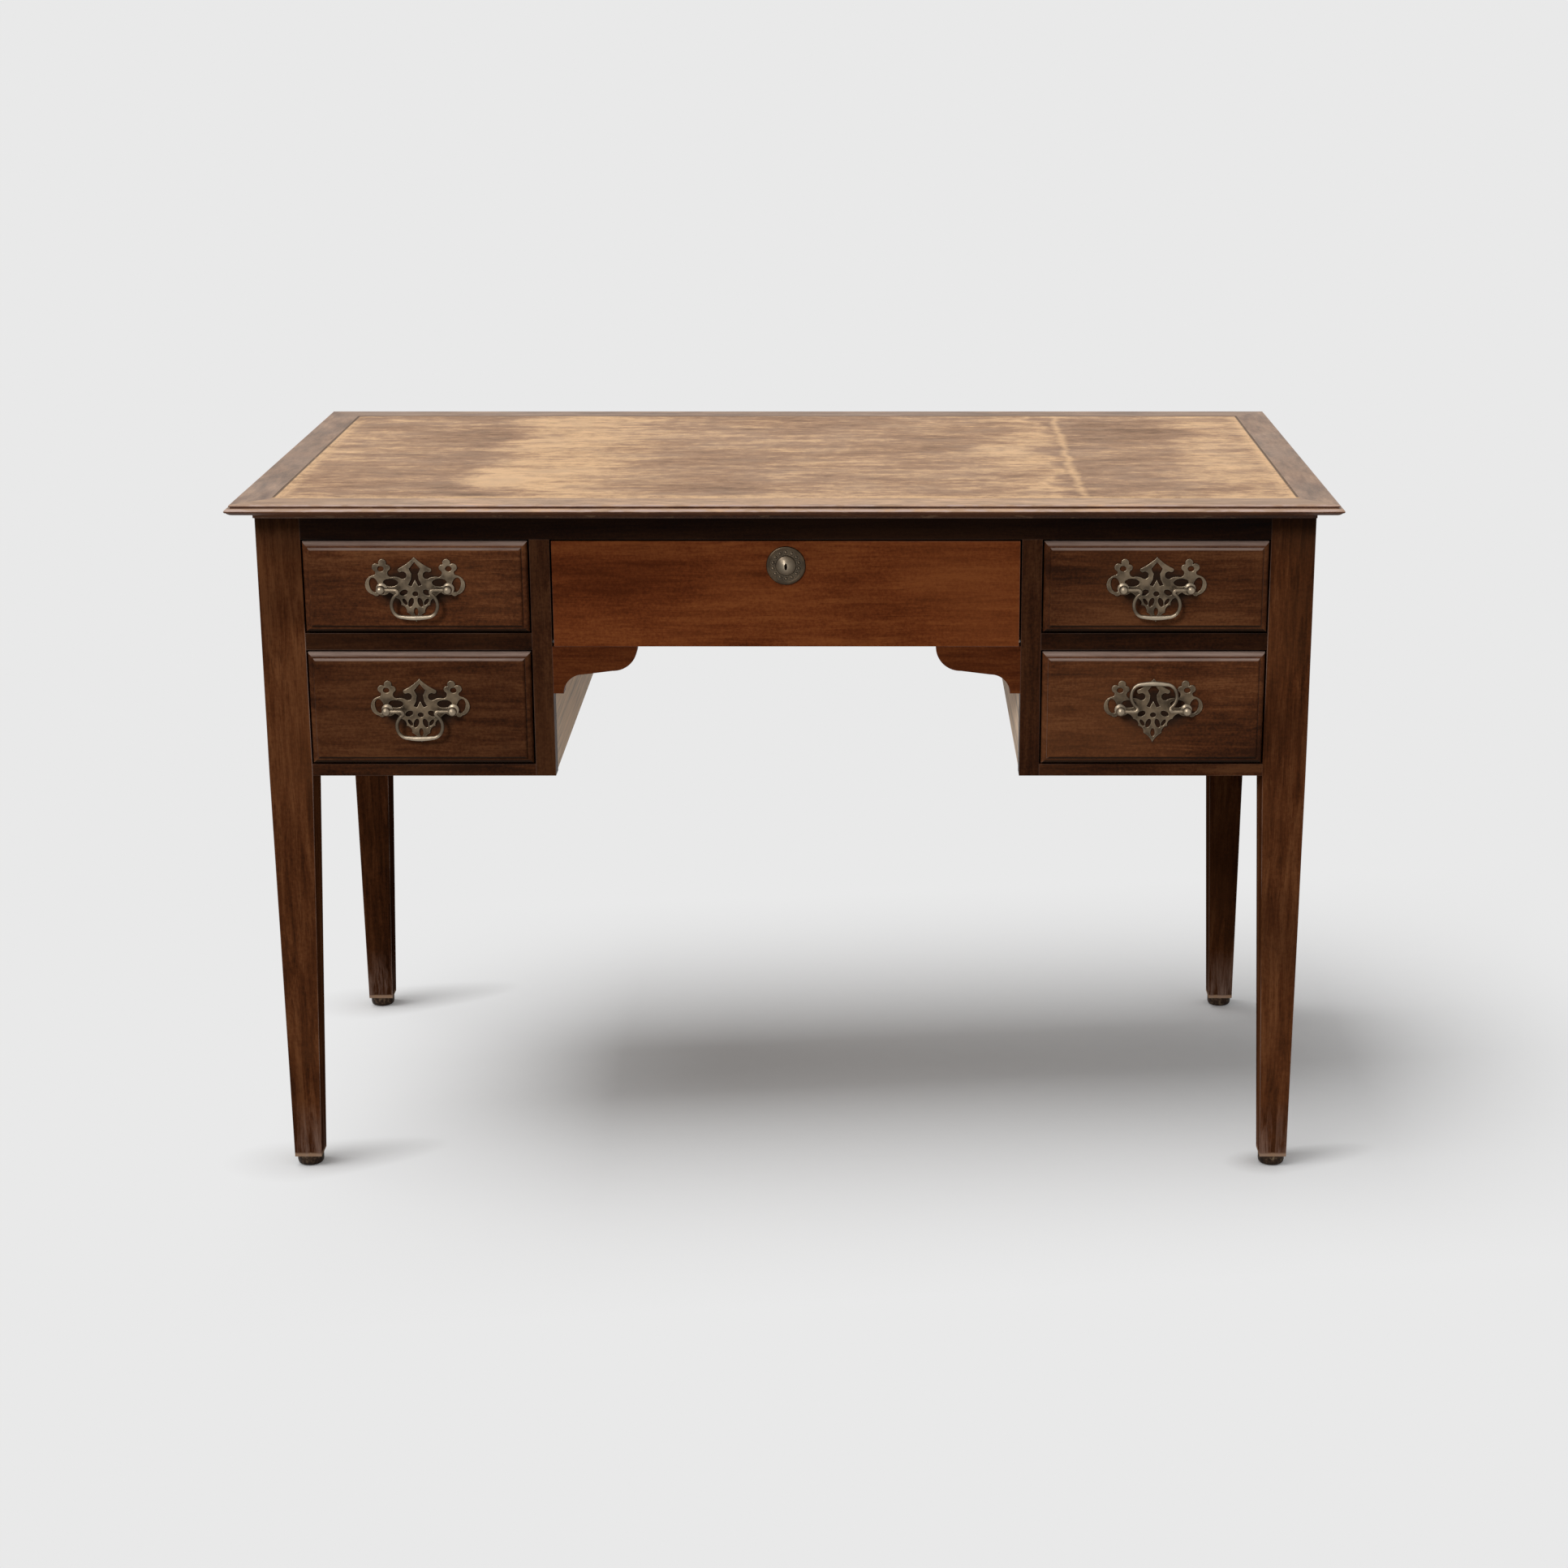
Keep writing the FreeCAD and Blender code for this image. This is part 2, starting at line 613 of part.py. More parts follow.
def handle(name, centre, holes):
    """A drawer handle: a pierced plate, two ball-headed posts with nuts, and a bail."""
    x, z = centre
    plate(name, x, z, holes)
    posts = []
    for end, sign in SIDES.items():
        post = f"{name}_post_{end}"
        post_x = f"{x} + {sign} * post_spacing / 2"
        reach = "bolt_end + nut_thickness + front_thickness + plate_thickness"
        solid = joined(post + "_blank", [
            ball(post + "_ball", "ball_radius", post_x, "pivot_y", z),
            rod(post + "_neck", "y", "neck_radius", "post_reach", post_x, "pivot_y", z),
            rod(post + "_collar", "y", "collar_radius", "collar_thickness", post_x,
                "plate_face - collar_thickness", z),
            rod(post + "_shank", "y", "bolt_radius", reach, post_x, "plate_face", z),
        ])
        bore_start = f"{post_x} + {sign} * (bail_pin_reach + running_clearance)"
        bore_length = "ball_radius + bail_pin_reach + running_clearance"
        bore = rod(post + "_bore", "x", "bail_radius + pin_clearance", bore_length,
                   bore_start if sign < 0 else f"{bore_start} - ({bore_length})", "pivot_y", z)
        nut = doc.addObject("Part::Prism", post + "_nut_blank")
        nut.Polygon = NUT_SIDES
        nut.Placement = FreeCAD.Placement(FreeCAD.Vector(), TURN_TO["y"])
        tie(nut, Circumradius="nut_radius", Height="nut_thickness")
        put(nut, post_x, "bank_front_back", z)
        thread = rod(post + "_thread", "y", "bolt_hole_radius", "nut_thickness + 2 * cut_overrun", post_x,
                     "bank_front_back - cut_overrun", z)
        posts += [cut(post, solid, [bore]), cut(post + "_nut", nut, [thread])]
    node(name + "_handle_posts", group(name + "_post_set", posts))
    bail(name, x, z)


def both_halves(half):
    """A closed loop of arcs from its right half, which starts and ends on the middle line."""
    left = []
    for before, corner in zip(half[-2::-1], half[:0:-1]):
        left.append((-corner[0], corner[1], (-before[2][0], before[2][1])))
    return half[:-1] + left


def plate(name, x, z, holes):
    """The pierced plate behind a handle."""
    def scaled(point):
        return (f"{point[0]} * plate_width / 2", f"{point[1]} * plate_height")

    corners = [(*scaled(corner), scaled(corner[2])) for corner in both_halves(PLATE_SHARES)]
    blank = outline_body(f"{name}_plate_blank", "XZ_Plane", corners, "plate_thickness")
    put(blank, x, "bank_front", z)
    piercings = list(holes)
    for number, (across, up, radius) in enumerate(PIERCING_SHARES):
        for sign in (-1, 1) if across else (1,):
            piercings.append(rod(f"{name}_piercing_{number}_{sign + 1}", "y", f"{radius} * plate_height",
                                 "plate_thickness + 2 * cut_overrun",
                                 f"{x} + {sign * across} * plate_width / 2", "plate_face - cut_overrun",
                                 f"{z} + {up} * plate_height"))
    node(f"{name}_handle_plate", cut(f"{name}_plate", blank, piercings))


def rounded_wire(points, radii):
    """A wire through points, with each inner corner rounded by its own radius."""
    edges = []
    start = points[0]
    for before, corner, after, radius in zip(points, points[1:], points[2:], radii):
        back = (before - corner).normalize()
        onward = (after - corner).normalize()
        half = back.getAngle(onward) / 2
        first = corner + back * (radius / math.tan(half))
        last = corner + onward * (radius / math.tan(half))
        middle = (back + onward).normalize()
        passed = corner + middle * (radius / math.sin(half) - radius)
        edges += [Part.LineSegment(start, first).toShape(), Part.Arc(first, passed, last).toShape()]
        start = last
    edges.append(Part.LineSegment(start, points[-1]).toShape())
    return Part.Wire(edges)


def bail(name, x, z):
    """A bail: pins in the two posts, a waisted loop, and a bar that swells towards its middle."""
    half = value("post_spacing") / 2
    drop = value("bail_drop")
    pin = FreeCAD.Vector(half + value("bail_pin_reach"), 0, 0)
    right = [pin] + [FreeCAD.Vector(across * half, 0, up * drop) for across, up, bend in BAIL_SHARES]
    left = [FreeCAD.Vector(-point.x, 0, point.z) for point in reversed(right)]
    bends = [bend * drop for across, up, bend in BAIL_SHARES]
    spine = doc.addObject("Part::Feature", f"{name}_bail_line")
    spine.Shape = rounded_wire(right + left, bends + bends[::-1])
    section = doc.addObject("Part::Circle", f"{name}_bail_section")
    section.Placement = FreeCAD.Placement(FreeCAD.Vector(), TURN_TO["x"])
    put(tie(section, Radius="bail_radius"), "post_spacing / 2 + bail_pin_reach", "0", "0")
    sweep = doc.addObject("Part::Sweep", f"{name}_bail_wire")
    sweep.Sections = [section]
    sweep.Spine = (spine, [f"Edge{number + 1}" for number in range(len(spine.Shape.Edges))])
    sweep.Solid = True
    reach = f"{BAIL_BAR_SHARE} * post_spacing / 2"
    swells = [cone(f"{name}_bail_swell_left", "x", "bail_radius", "bail_bar_radius", reach,
                   f"-({reach})", "0", "-bail_drop"),
              cone(f"{name}_bail_swell_right", "x", "bail_bar_radius", "bail_radius", reach,
                   "0", "0", "-bail_drop")]
    piece = joined(f"{name}_bail_solid", [sweep] + swells)
    if name == TIPPED_UP:
        lean = "180 deg - asin((post_reach - bail_bar_radius - running_clearance) / bail_drop)"
        piece.Placement = FreeCAD.Placement(FreeCAD.Vector(), FreeCAD.Rotation(X_AXIS, 90))
        piece.setExpression("Placement.Rotation.Angle", bound(lean))
    node(f"{name}_bail", put(piece, x, "pivot_y", z))


def middle_drawer():
    """The middle drawer, with its lock let into the back of its front, and the keyhole rosette."""
    name = "middle_drawer"
    x = ("-middle_half", "middle_half")
    bottom = drawer_box(name, x, "middle_front_back", "middle_side_low", "upper_high")
    blank = board(name + "_blank", x, ("front_face", "middle_front_back"), ("middle_low", "upper_high"))
    key = [("-keyhole_width / 2", "keyhole_width / 2"),
           ("rosette_level - keyhole_height / 2", "rosette_level + keyhole_height / 2")]
    keyway = board(name + "_keyway", key[0], ("front_face - cut_overrun", "lock_front"), key[1])
    low = "upper_high - lock_height"
    lock_x = ("-lock_width / 2", "lock_width / 2")
    bed = board(name + "_lock_bed", lock_x, ("lock_front", "middle_front_back"), (low, "upper_high"))
    node(name + "_front", cut(name + "_fitted", blank, [bottom, keyway, bed]))
    half = "bolt_plate_width / 2"
    deep = "bolt_plate_thickness / 2"
    foot = "bolt_plate_high - bolt_plate_height"
    bolt = board("bolt_plate", (f"-{half}", half), (f"bolt_plate_y - {deep}", f"bolt_plate_y + {deep}"),
                 (foot, "bolt_plate_high"))
    slack = "running_clearance"
    way = board("bolt_way", (f"-{half} - {slack}", f"{half} + {slack}"),
                (f"bolt_plate_y - {deep} - {slack}", f"bolt_plate_y + {deep} + {slack}"),
                (f"{foot} - {slack}", "upper_high + cut_overrun"))
    case = board("lock_block", lock_x, ("lock_front", "middle_front_back"), (low, "upper_high"))
    node("lock_case", cut("lock", case, [way]))
    node("lock_bolt", bolt)
    rosette(key)


def rosette(key):
    """The round keyhole rosette: a rimmed disc with a ring of beads and a raised middle."""
    face = "front_face - rosette_thickness"
    disc = rod("rosette_disc", "y", "rosette_radius", "rosette_thickness", "0", face, "rosette_level")
    rim = doc.addObject("Part::Torus", "rosette_rim")
    rim.Placement = FreeCAD.Placement(FreeCAD.Vector(), TURN_TO["y"])
    tie(rim, Radius1="rosette_radius - rosette_rim_radius", Radius2="rosette_rim_radius")
    put(rim, "0", face, "rosette_level")
    boss = cone("rosette_boss", "y", f"rosette_boss_radius * {ROSETTE_TIP_SHARE}", "rosette_boss_radius",
                "rosette_boss_height", "0", f"{face} - rosette_boss_height", "rosette_level")
    beads = []
    for number in range(ROSETTE_BEADS):
        angle = 2 * math.pi * number / ROSETTE_BEADS
        beads.append(ball(f"rosette_bead_{number}", "rosette_bead_radius",
                          f"rosette_radius * {ROSETTE_BEAD_SHARE * math.sin(angle)}", face,
                          f"rosette_level + rosette_radius * {ROSETTE_BEAD_SHARE * math.cos(angle)}"))
    blank = joined("rosette_blank", [disc, rim, boss] + beads)
    tip = "front_face - rosette_thickness - rosette_boss_height"
    front = board("rosette_front", ("-rosette_radius", "rosette_radius"), (tip, "front_face"),
                  ("rosette_level - rosette_radius", "rosette_level + rosette_radius"))
    slot = board("rosette_slot", key[0], (f"{tip} - cut_overrun", "front_face + cut_overrun"), key[1])
    node("keyhole_rosette", cut("rosette", shared("rosette_clear", blank, front), [slot]))


def check_and_write():
    """Stops if any object failed, and writes one file for each sub-part."""
    doc.recompute()
    failed = [item.Name for item in doc.Objects if {"Invalid", "Error"} & set(item.State)]
    if failed:
        raise RuntimeError("failed: " + ", ".join(failed))
    os.makedirs("parts", exist_ok=True)
    for piece in nodes:
        shape = piece.Shape
        if shape.isNull() or not shape.isValid() or not shape.Solids:
            raise RuntimeError("bad shape: " + piece.Label)
    for piece in nodes:
        piece.Shape.exportStep(f"parts/{piece.Label}.step")
        print(f"{piece.Label}: {len(piece.Shape.Solids)} solid(s)")
    print(len(nodes), "sub-parts")


fill_sheet()
top_pieces()
for depth_word in DEPTHS:
    for side_word in SIDES:
        leg(depth_word, side_word)
glides()
frame_pieces()
brackets()
runners()
for level_word in LEVELS:
    for side_word in SIDES:
        bank_drawer(level_word, side_word)
middle_drawer()
check_and_write()
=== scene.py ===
import math

import bmesh
import bpy
from bpy.props import FloatProperty, FloatVectorProperty, PointerProperty
from mathutils import Matrix, Vector


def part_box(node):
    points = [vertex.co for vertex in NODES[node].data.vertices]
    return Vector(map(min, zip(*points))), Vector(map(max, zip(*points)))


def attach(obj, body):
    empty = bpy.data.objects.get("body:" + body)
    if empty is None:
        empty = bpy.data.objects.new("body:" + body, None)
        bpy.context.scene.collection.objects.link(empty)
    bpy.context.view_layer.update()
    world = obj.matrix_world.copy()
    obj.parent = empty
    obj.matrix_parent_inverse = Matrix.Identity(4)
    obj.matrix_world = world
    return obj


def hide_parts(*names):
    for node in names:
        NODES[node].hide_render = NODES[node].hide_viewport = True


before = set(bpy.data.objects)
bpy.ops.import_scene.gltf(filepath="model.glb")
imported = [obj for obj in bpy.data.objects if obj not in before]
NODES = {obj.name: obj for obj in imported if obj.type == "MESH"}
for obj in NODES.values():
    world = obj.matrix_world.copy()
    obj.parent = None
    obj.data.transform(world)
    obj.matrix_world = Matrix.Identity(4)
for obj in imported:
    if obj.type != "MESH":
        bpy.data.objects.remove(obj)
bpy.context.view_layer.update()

bl_info = {
    "name": "Kneehole Desk",
    "version": (1, 0, 0),
    "blender": (4, 5, 0),
    "location": "View3D > Sidebar > Desk",
    "description": "Dresses an old kneehole writing desk: woods, hide, drawer handles and keyhole rosette",
    "category": "Object",
}

MM = 0.001
SIDES = ("left", "right")
CORNERS = ("upper_left", "upper_right", "lower_left", "lower_right")
TIPPED_UP = "lower_right"
PHOTO_PIXELS = 1932
BAR_RADIUS = 2.7


def tint(name, description, default):
    return FloatVectorProperty(name=name, description=description, default=default, subtype="COLOR", size=3,
                               min=0.0, max=1.0)


def length(name, description, default):
    return FloatProperty(name=name, description=description, default=default, unit="LENGTH",
                         soft_min=0.0, precision=5)


def share(name, description, default):
    return FloatProperty(name=name, description=description, default=default, subtype="FACTOR", min=0.0,
                         max=1.0)


class DeskWoods(bpy.types.PropertyGroup):
    """Colours and sheen of the desk's woods."""
    polish_dark: tint("Dark streaks", "Darkest grain of the polished wood", (0.026, 0.009, 0.004))
    polish_mid: tint("Polish", "Main colour of the polished wood", (0.074, 0.023, 0.008))
    polish_light: tint("Light grain", "Lightest grain of the polished wood", (0.130, 0.048, 0.018))
    faded_dark: tint("Faded streaks", "Darkest grain of the redder middle drawer", (0.062, 0.013, 0.003))
    faded_mid: tint("Faded polish", "Main colour of the redder middle drawer", (0.120, 0.028, 0.007))
    faded_light: tint("Faded light grain", "Lightest grain of the middle drawer", (0.178, 0.050, 0.013))
    front_shares: FloatVectorProperty(name="Front tones", description="Tone of each bank drawer's front",
                                      size=4, default=(1.2, 0.88, 0.74, 1.02), min=0.0, soft_max=2.0)
    # Darkens the top rail's wood as painted shade under the top's overhang
    top_rail_painted_shade: share("Top rail tone", "How dark the top rail is beside the drawer fronts", 0.14)
    mid_rail_share: share("Mid rail tone", "How dark the mid rails are beside the drawer fronts", 0.32)
    bottom_rail_share: share("Bottom rail tone", "How dark the bottom rails are beside the fronts", 0.64)
    stile_share: share("Stile tone", "How dark the kneehole stiles are beside the drawer fronts", 0.46)
    # Darkens the back legs' wood as painted shade under the desk
    back_leg_painted_shade: share("Back leg tone", "How dark the back legs are beside the front ones", 0.58)
    bracket_share: share("Bracket tone", "How dark the brackets are beside the middle drawer", 0.62)
    # Worn wood, also laid on the drawers' upper mouldings as a painted highlight
    worn_and_highlight: tint("Worn edges", "Wood that shows through at rubbed edges", (0.270, 0.195, 0.160))
    # Pale wood laid on the rim's sloping upper faces as a painted highlight with some wear
    rim: tint("Rubbed rim", "Pale wood along the moulded rim of the top", (0.430, 0.308, 0.256))
    # Painted shade under the top and on lower mouldings, and shade with grime behind the handles
    shade_and_grime: tint("Grime", "Old polish and dust that gathers behind the handles", (0.014, 0.009, 0.006))
    bleached_front: tint("Bleached front", "Worn wood of the border along the front", (0.450, 0.275, 0.157))
    bleached_side: tint("Bleached sides", "Worn wood of the border at sides and back", (0.275, 0.171, 0.107))
    lining: tint("Drawer lining", "Bare wood of the drawer boxes", (0.300, 0.190, 0.100))
    raw: tint("Bare panels", "Bare wood of the kneehole panels", (0.800, 0.600, 0.430))
    sheen: share("Polish roughness", "Roughness of the old polish", 0.42)


class DeskHide(bpy.types.PropertyGroup):
    """The inset writing hide."""
    brown: tint("Brown", "Darkest patches of the hide", (0.168, 0.092, 0.050))
    tan: tint("Tan", "Main colour of the hide", (0.330, 0.192, 0.110))
    gold: tint("Gold", "Rubbed patches of the hide", (0.660, 0.418, 0.226))
    grey: tint("Grey", "Dusty patches of the hide", (0.318, 0.210, 0.137))
    seam: length("Seam", "Place of the pale crease, to the right of the middle", 0.315)
    stain: FloatVectorProperty(name="Stain", description="Place of the dark stain near the front", size=2,
                               default=(-0.336, -0.255), unit="LENGTH")
    line_inset: length("Line inset", "Tooled line, in from the edge of the hide", 9 * MM)
    line_depth: length("Line depth", "Depth of the tooled line", 0.35 * MM)


class DeskBrass(bpy.types.PropertyGroup):
    """The aged brass of the handles and the rosette."""
    dark: tint("Patina", "Darkened brass in the hollows", (0.040, 0.028, 0.018))
    mid: tint("Aged brass", "Main colour of the brass", (0.150, 0.106, 0.064))
    bright: tint("Rubbed brass", "Brass on the high spots", (0.560, 0.465, 0.345))
    plate_bevel: length("Plate bevel", "Rounding of the plates' edges", 0.7 * MM)
    plate_shares: FloatVectorProperty(name="Plate rubbing", description="How bright each plate is rubbed",
                                      size=4, default=(0.12, 0.08, 0.04, 0.03), min=0.0, max=1.0)
    bail_radius: length("Bail radius", "Radius of a bail near its pins", 1.9 * MM)
    bar_radius: length("Bar radius", "Radius of a bail in the middle of its bar", BAR_RADIUS * MM)
    ball_radius: length("Ball radius", "Radius of the posts' ball heads", 5.0 * MM)


class DeskStage(bpy.types.PropertyGroup):
    """Camera, lamps and floor."""
    focal_pixels: FloatProperty(name="Focal length", description="Focal length in pixels of the photograph",
                                default=3601.0)
    eye: FloatVectorProperty(name="Eye", description="Place of the camera", subtype="XYZ", unit="LENGTH",
                             default=(0.0866, -3.3217, 1.3352))
    pitch: FloatProperty(name="Pitch", description="How far the camera looks down", default=0.28055,
                         subtype="ANGLE", unit="ROTATION")
    centre: FloatVectorProperty(name="Centre", description="Pixel of the photograph on the camera's axis",
                                default=(1068.7, 959.0), size=2)
    background: tint("Background", "Colour of the background", (0.815, 0.815, 0.815))
    floor: tint("Floor", "Colour of the floor", (0.906, 0.906, 0.906))
    bounce: tint("Bounce", "Colour of the light that the floor throws back", (0.45, 0.45, 0.45))
    overhead: share("Overhead", "Light of the soft lamp overhead on a level surface", 0.46)
    front: share("Front", "Light of the soft lamp in front on an upright surface", 0.40)
    fill: share("Fill", "Light from all round", 0.38)
    shade_x: length("Shade across", "Middle of the floor's soft shade, to the right", 0.235)
    shade_y: length("Shade back", "Middle of the floor's soft shade, to the back", 0.07)
    shade_turn: FloatProperty(name="Shade turn", description="How far the shade runs back on its way right",
                              default=0.13)
    foot_x: length("Feet across", "Distance of each foot from the middle, across the desk", 0.544)
    foot_y: length("Feet back", "Distance of each foot from the middle, front to back", 0.256)


class Paint:
    """Builds the nodes of one material, or of the world."""

    def __init__(self, name, kind="materials"):
        self.made = getattr(bpy.data, kind).new(name)
        self.made.use_nodes = True
        self.tree = self.made.node_tree
        self.shader = self.tree.nodes.get("Principled BSDF")
        self.output = self.tree.get_output_node("ALL")
        self.colour = None

    def node(self, kind, inputs=None, **settings):
        made = self.tree.nodes.new("ShaderNode" + kind)
        for key, value in settings.items():
            setattr(made, key, value)
        for key, value in (inputs or {}).items():
            self.join(made.inputs[key], value)
        return made

    def join(self, socket, value):
        if isinstance(value, bpy.types.NodeSocket):
            self.tree.links.new(value, socket)
        elif isinstance(value, bpy.types.Node):
            self.tree.links.new(value.outputs[0], socket)
        elif socket.type == "RGBA" and len(value) == 3:
            socket.default_value = (*value, 1.0)
        else:
            socket.default_value = value

    def place(self, scale=(1, 1, 1), shift=(0, 0, 0)):
        here = self.node("TexCoord").outputs["Object"]
        return self.node("Mapping", {"Vector": here, "Scale": scale, "Location": shift})

    def here(self):
        """The place in the desk's frame, as outputs X, Y and Z."""
        return self.node("SeparateXYZ", {0: self.node("TexCoord").outputs["Object"]}).outputs

    def noise(self, scale, shift=(0, 0, 0), detail=2.0, roughness=0.5, distortion=0.0):
        inputs = {"Vector": self.place(scale, shift), "Scale": 1.0, "Detail": detail,
                  "Roughness": roughness, "Distortion": distortion}
        return self.node("TexNoise", inputs).outputs["Fac"]

    def span(self, value, low, high, to_low=0.0, to_high=1.0):
        return self.node("MapRange", {"Value": value, "From Min": low, "From Max": high, "To Min": to_low,
                                      "To Max": to_high}).outputs["Result"]

    def sum(self, operation, *values):
        return self.node("Math", dict(enumerate(values)), operation=operation).outputs[0]

    def less(self, first, second):
        return self.sum("SUBTRACT", first, second)

    def times(self, first, second):
        return self.sum("MULTIPLY", first, second)

    def added(self, value, by, to):
        return self.sum("MULTIPLY_ADD", value, by, to)

    def seen(self):
        """1 for rays that see the floor and the background in their own colours."""
        path = self.node("LightPath").outputs
        either = self.sum("MAXIMUM", path["Is Glossy Ray"], path["Is Transmission Ray"])
        return self.sum("MAXIMUM", path["Is Camera Ray"], either)

    def mix(self, factor, first, second):
        made = self.node("Mix", data_type="RGBA", blend_type="MIX")
        self.join(made.inputs[0], factor)
        self.join(made.inputs[6], first)
        self.join(made.inputs[7], second)
        return made.outputs[2]

    def coat(self, factor, colour):
        """Lays one more colour over the colour so far."""
        self.colour = self.mix(factor, self.colour, colour)

    def ramp(self, factor, stops):
        made = self.node("ValToRGB", {"Fac": factor})
        marks = made.color_ramp.elements
        while len(marks) < len(stops):
            marks.new(0.5)
        for mark, (place, colour) in zip(marks, stops):
            mark.position = place
            mark.color = (*colour, 1.0)
        return made.outputs["Color"]

    def edges(self, radius, low, high):
        """1 along edges that stick out, and 0 on flat faces."""
        round_normal = self.node("Bevel", {"Radius": radius}, samples=6)
        flat_normal = self.node("NewGeometry").outputs["Normal"]
        along = self.node("VectorMath", {0: round_normal, 1: flat_normal}, operation="DOT_PRODUCT")
        return self.span(self.less(1.0, along.outputs["Value"]), low, high)

    def bump(self, height, strength, distance):
        made = self.node("Bump", {"Height": height, "Strength": strength, "Distance": distance})
        self.join(self.shader.inputs["Normal"], made)

    def finish(self, **sockets):
        for key, value in sockets.items():
            self.join(self.shader.inputs[key.replace("_", " ")], value)
        return self.made


def wear(node, material):
    """Gives a CAD node its finished material."""
    slots = NODES[node].material_slots
    if not slots:
        NODES[node].data.materials.append(material)
    for slot in slots:
        slot.material = material


def wood_tones(woods):
    """Dark, middle and light tones of the polished wood, and of the redder faded wood."""
    return ((woods.polish_dark, woods.polish_mid, woods.polish_light),
            (woods.faded_dark, woods.faded_mid, woods.faded_light))


def dimmed(tones, by):
    """Darker tones of a wood."""
    return [tuple(c * by for c in tone) for tone in tones]


def stretched(along, length_scale, cross_scale):
    """Noise scales for grain that runs along one axis."""
    return tuple(length_scale if axis == along else cross_scale for axis in "xyz")


# Heights that the marks on the legs start from and are full at: the pale line over a glide, painted shade
# under the top and scuffs at the foot
FOOT_BAND = (19 * MM, 17 * MM)
LEG_PAINTED_SHADE = (695 * MM, 742 * MM)
FOOT_SCUFF = (80 * MM, 18 * MM)
# Distances from the middle of the top at which its front border starts to darken, and is darkest
BORDER_ENDS = (0.34, 0.50)
# Half the width and height in millimetres of the painted shade, with some grime, behind a handle
HANDLE_SHADE_AND_GRIME = (50, 27)


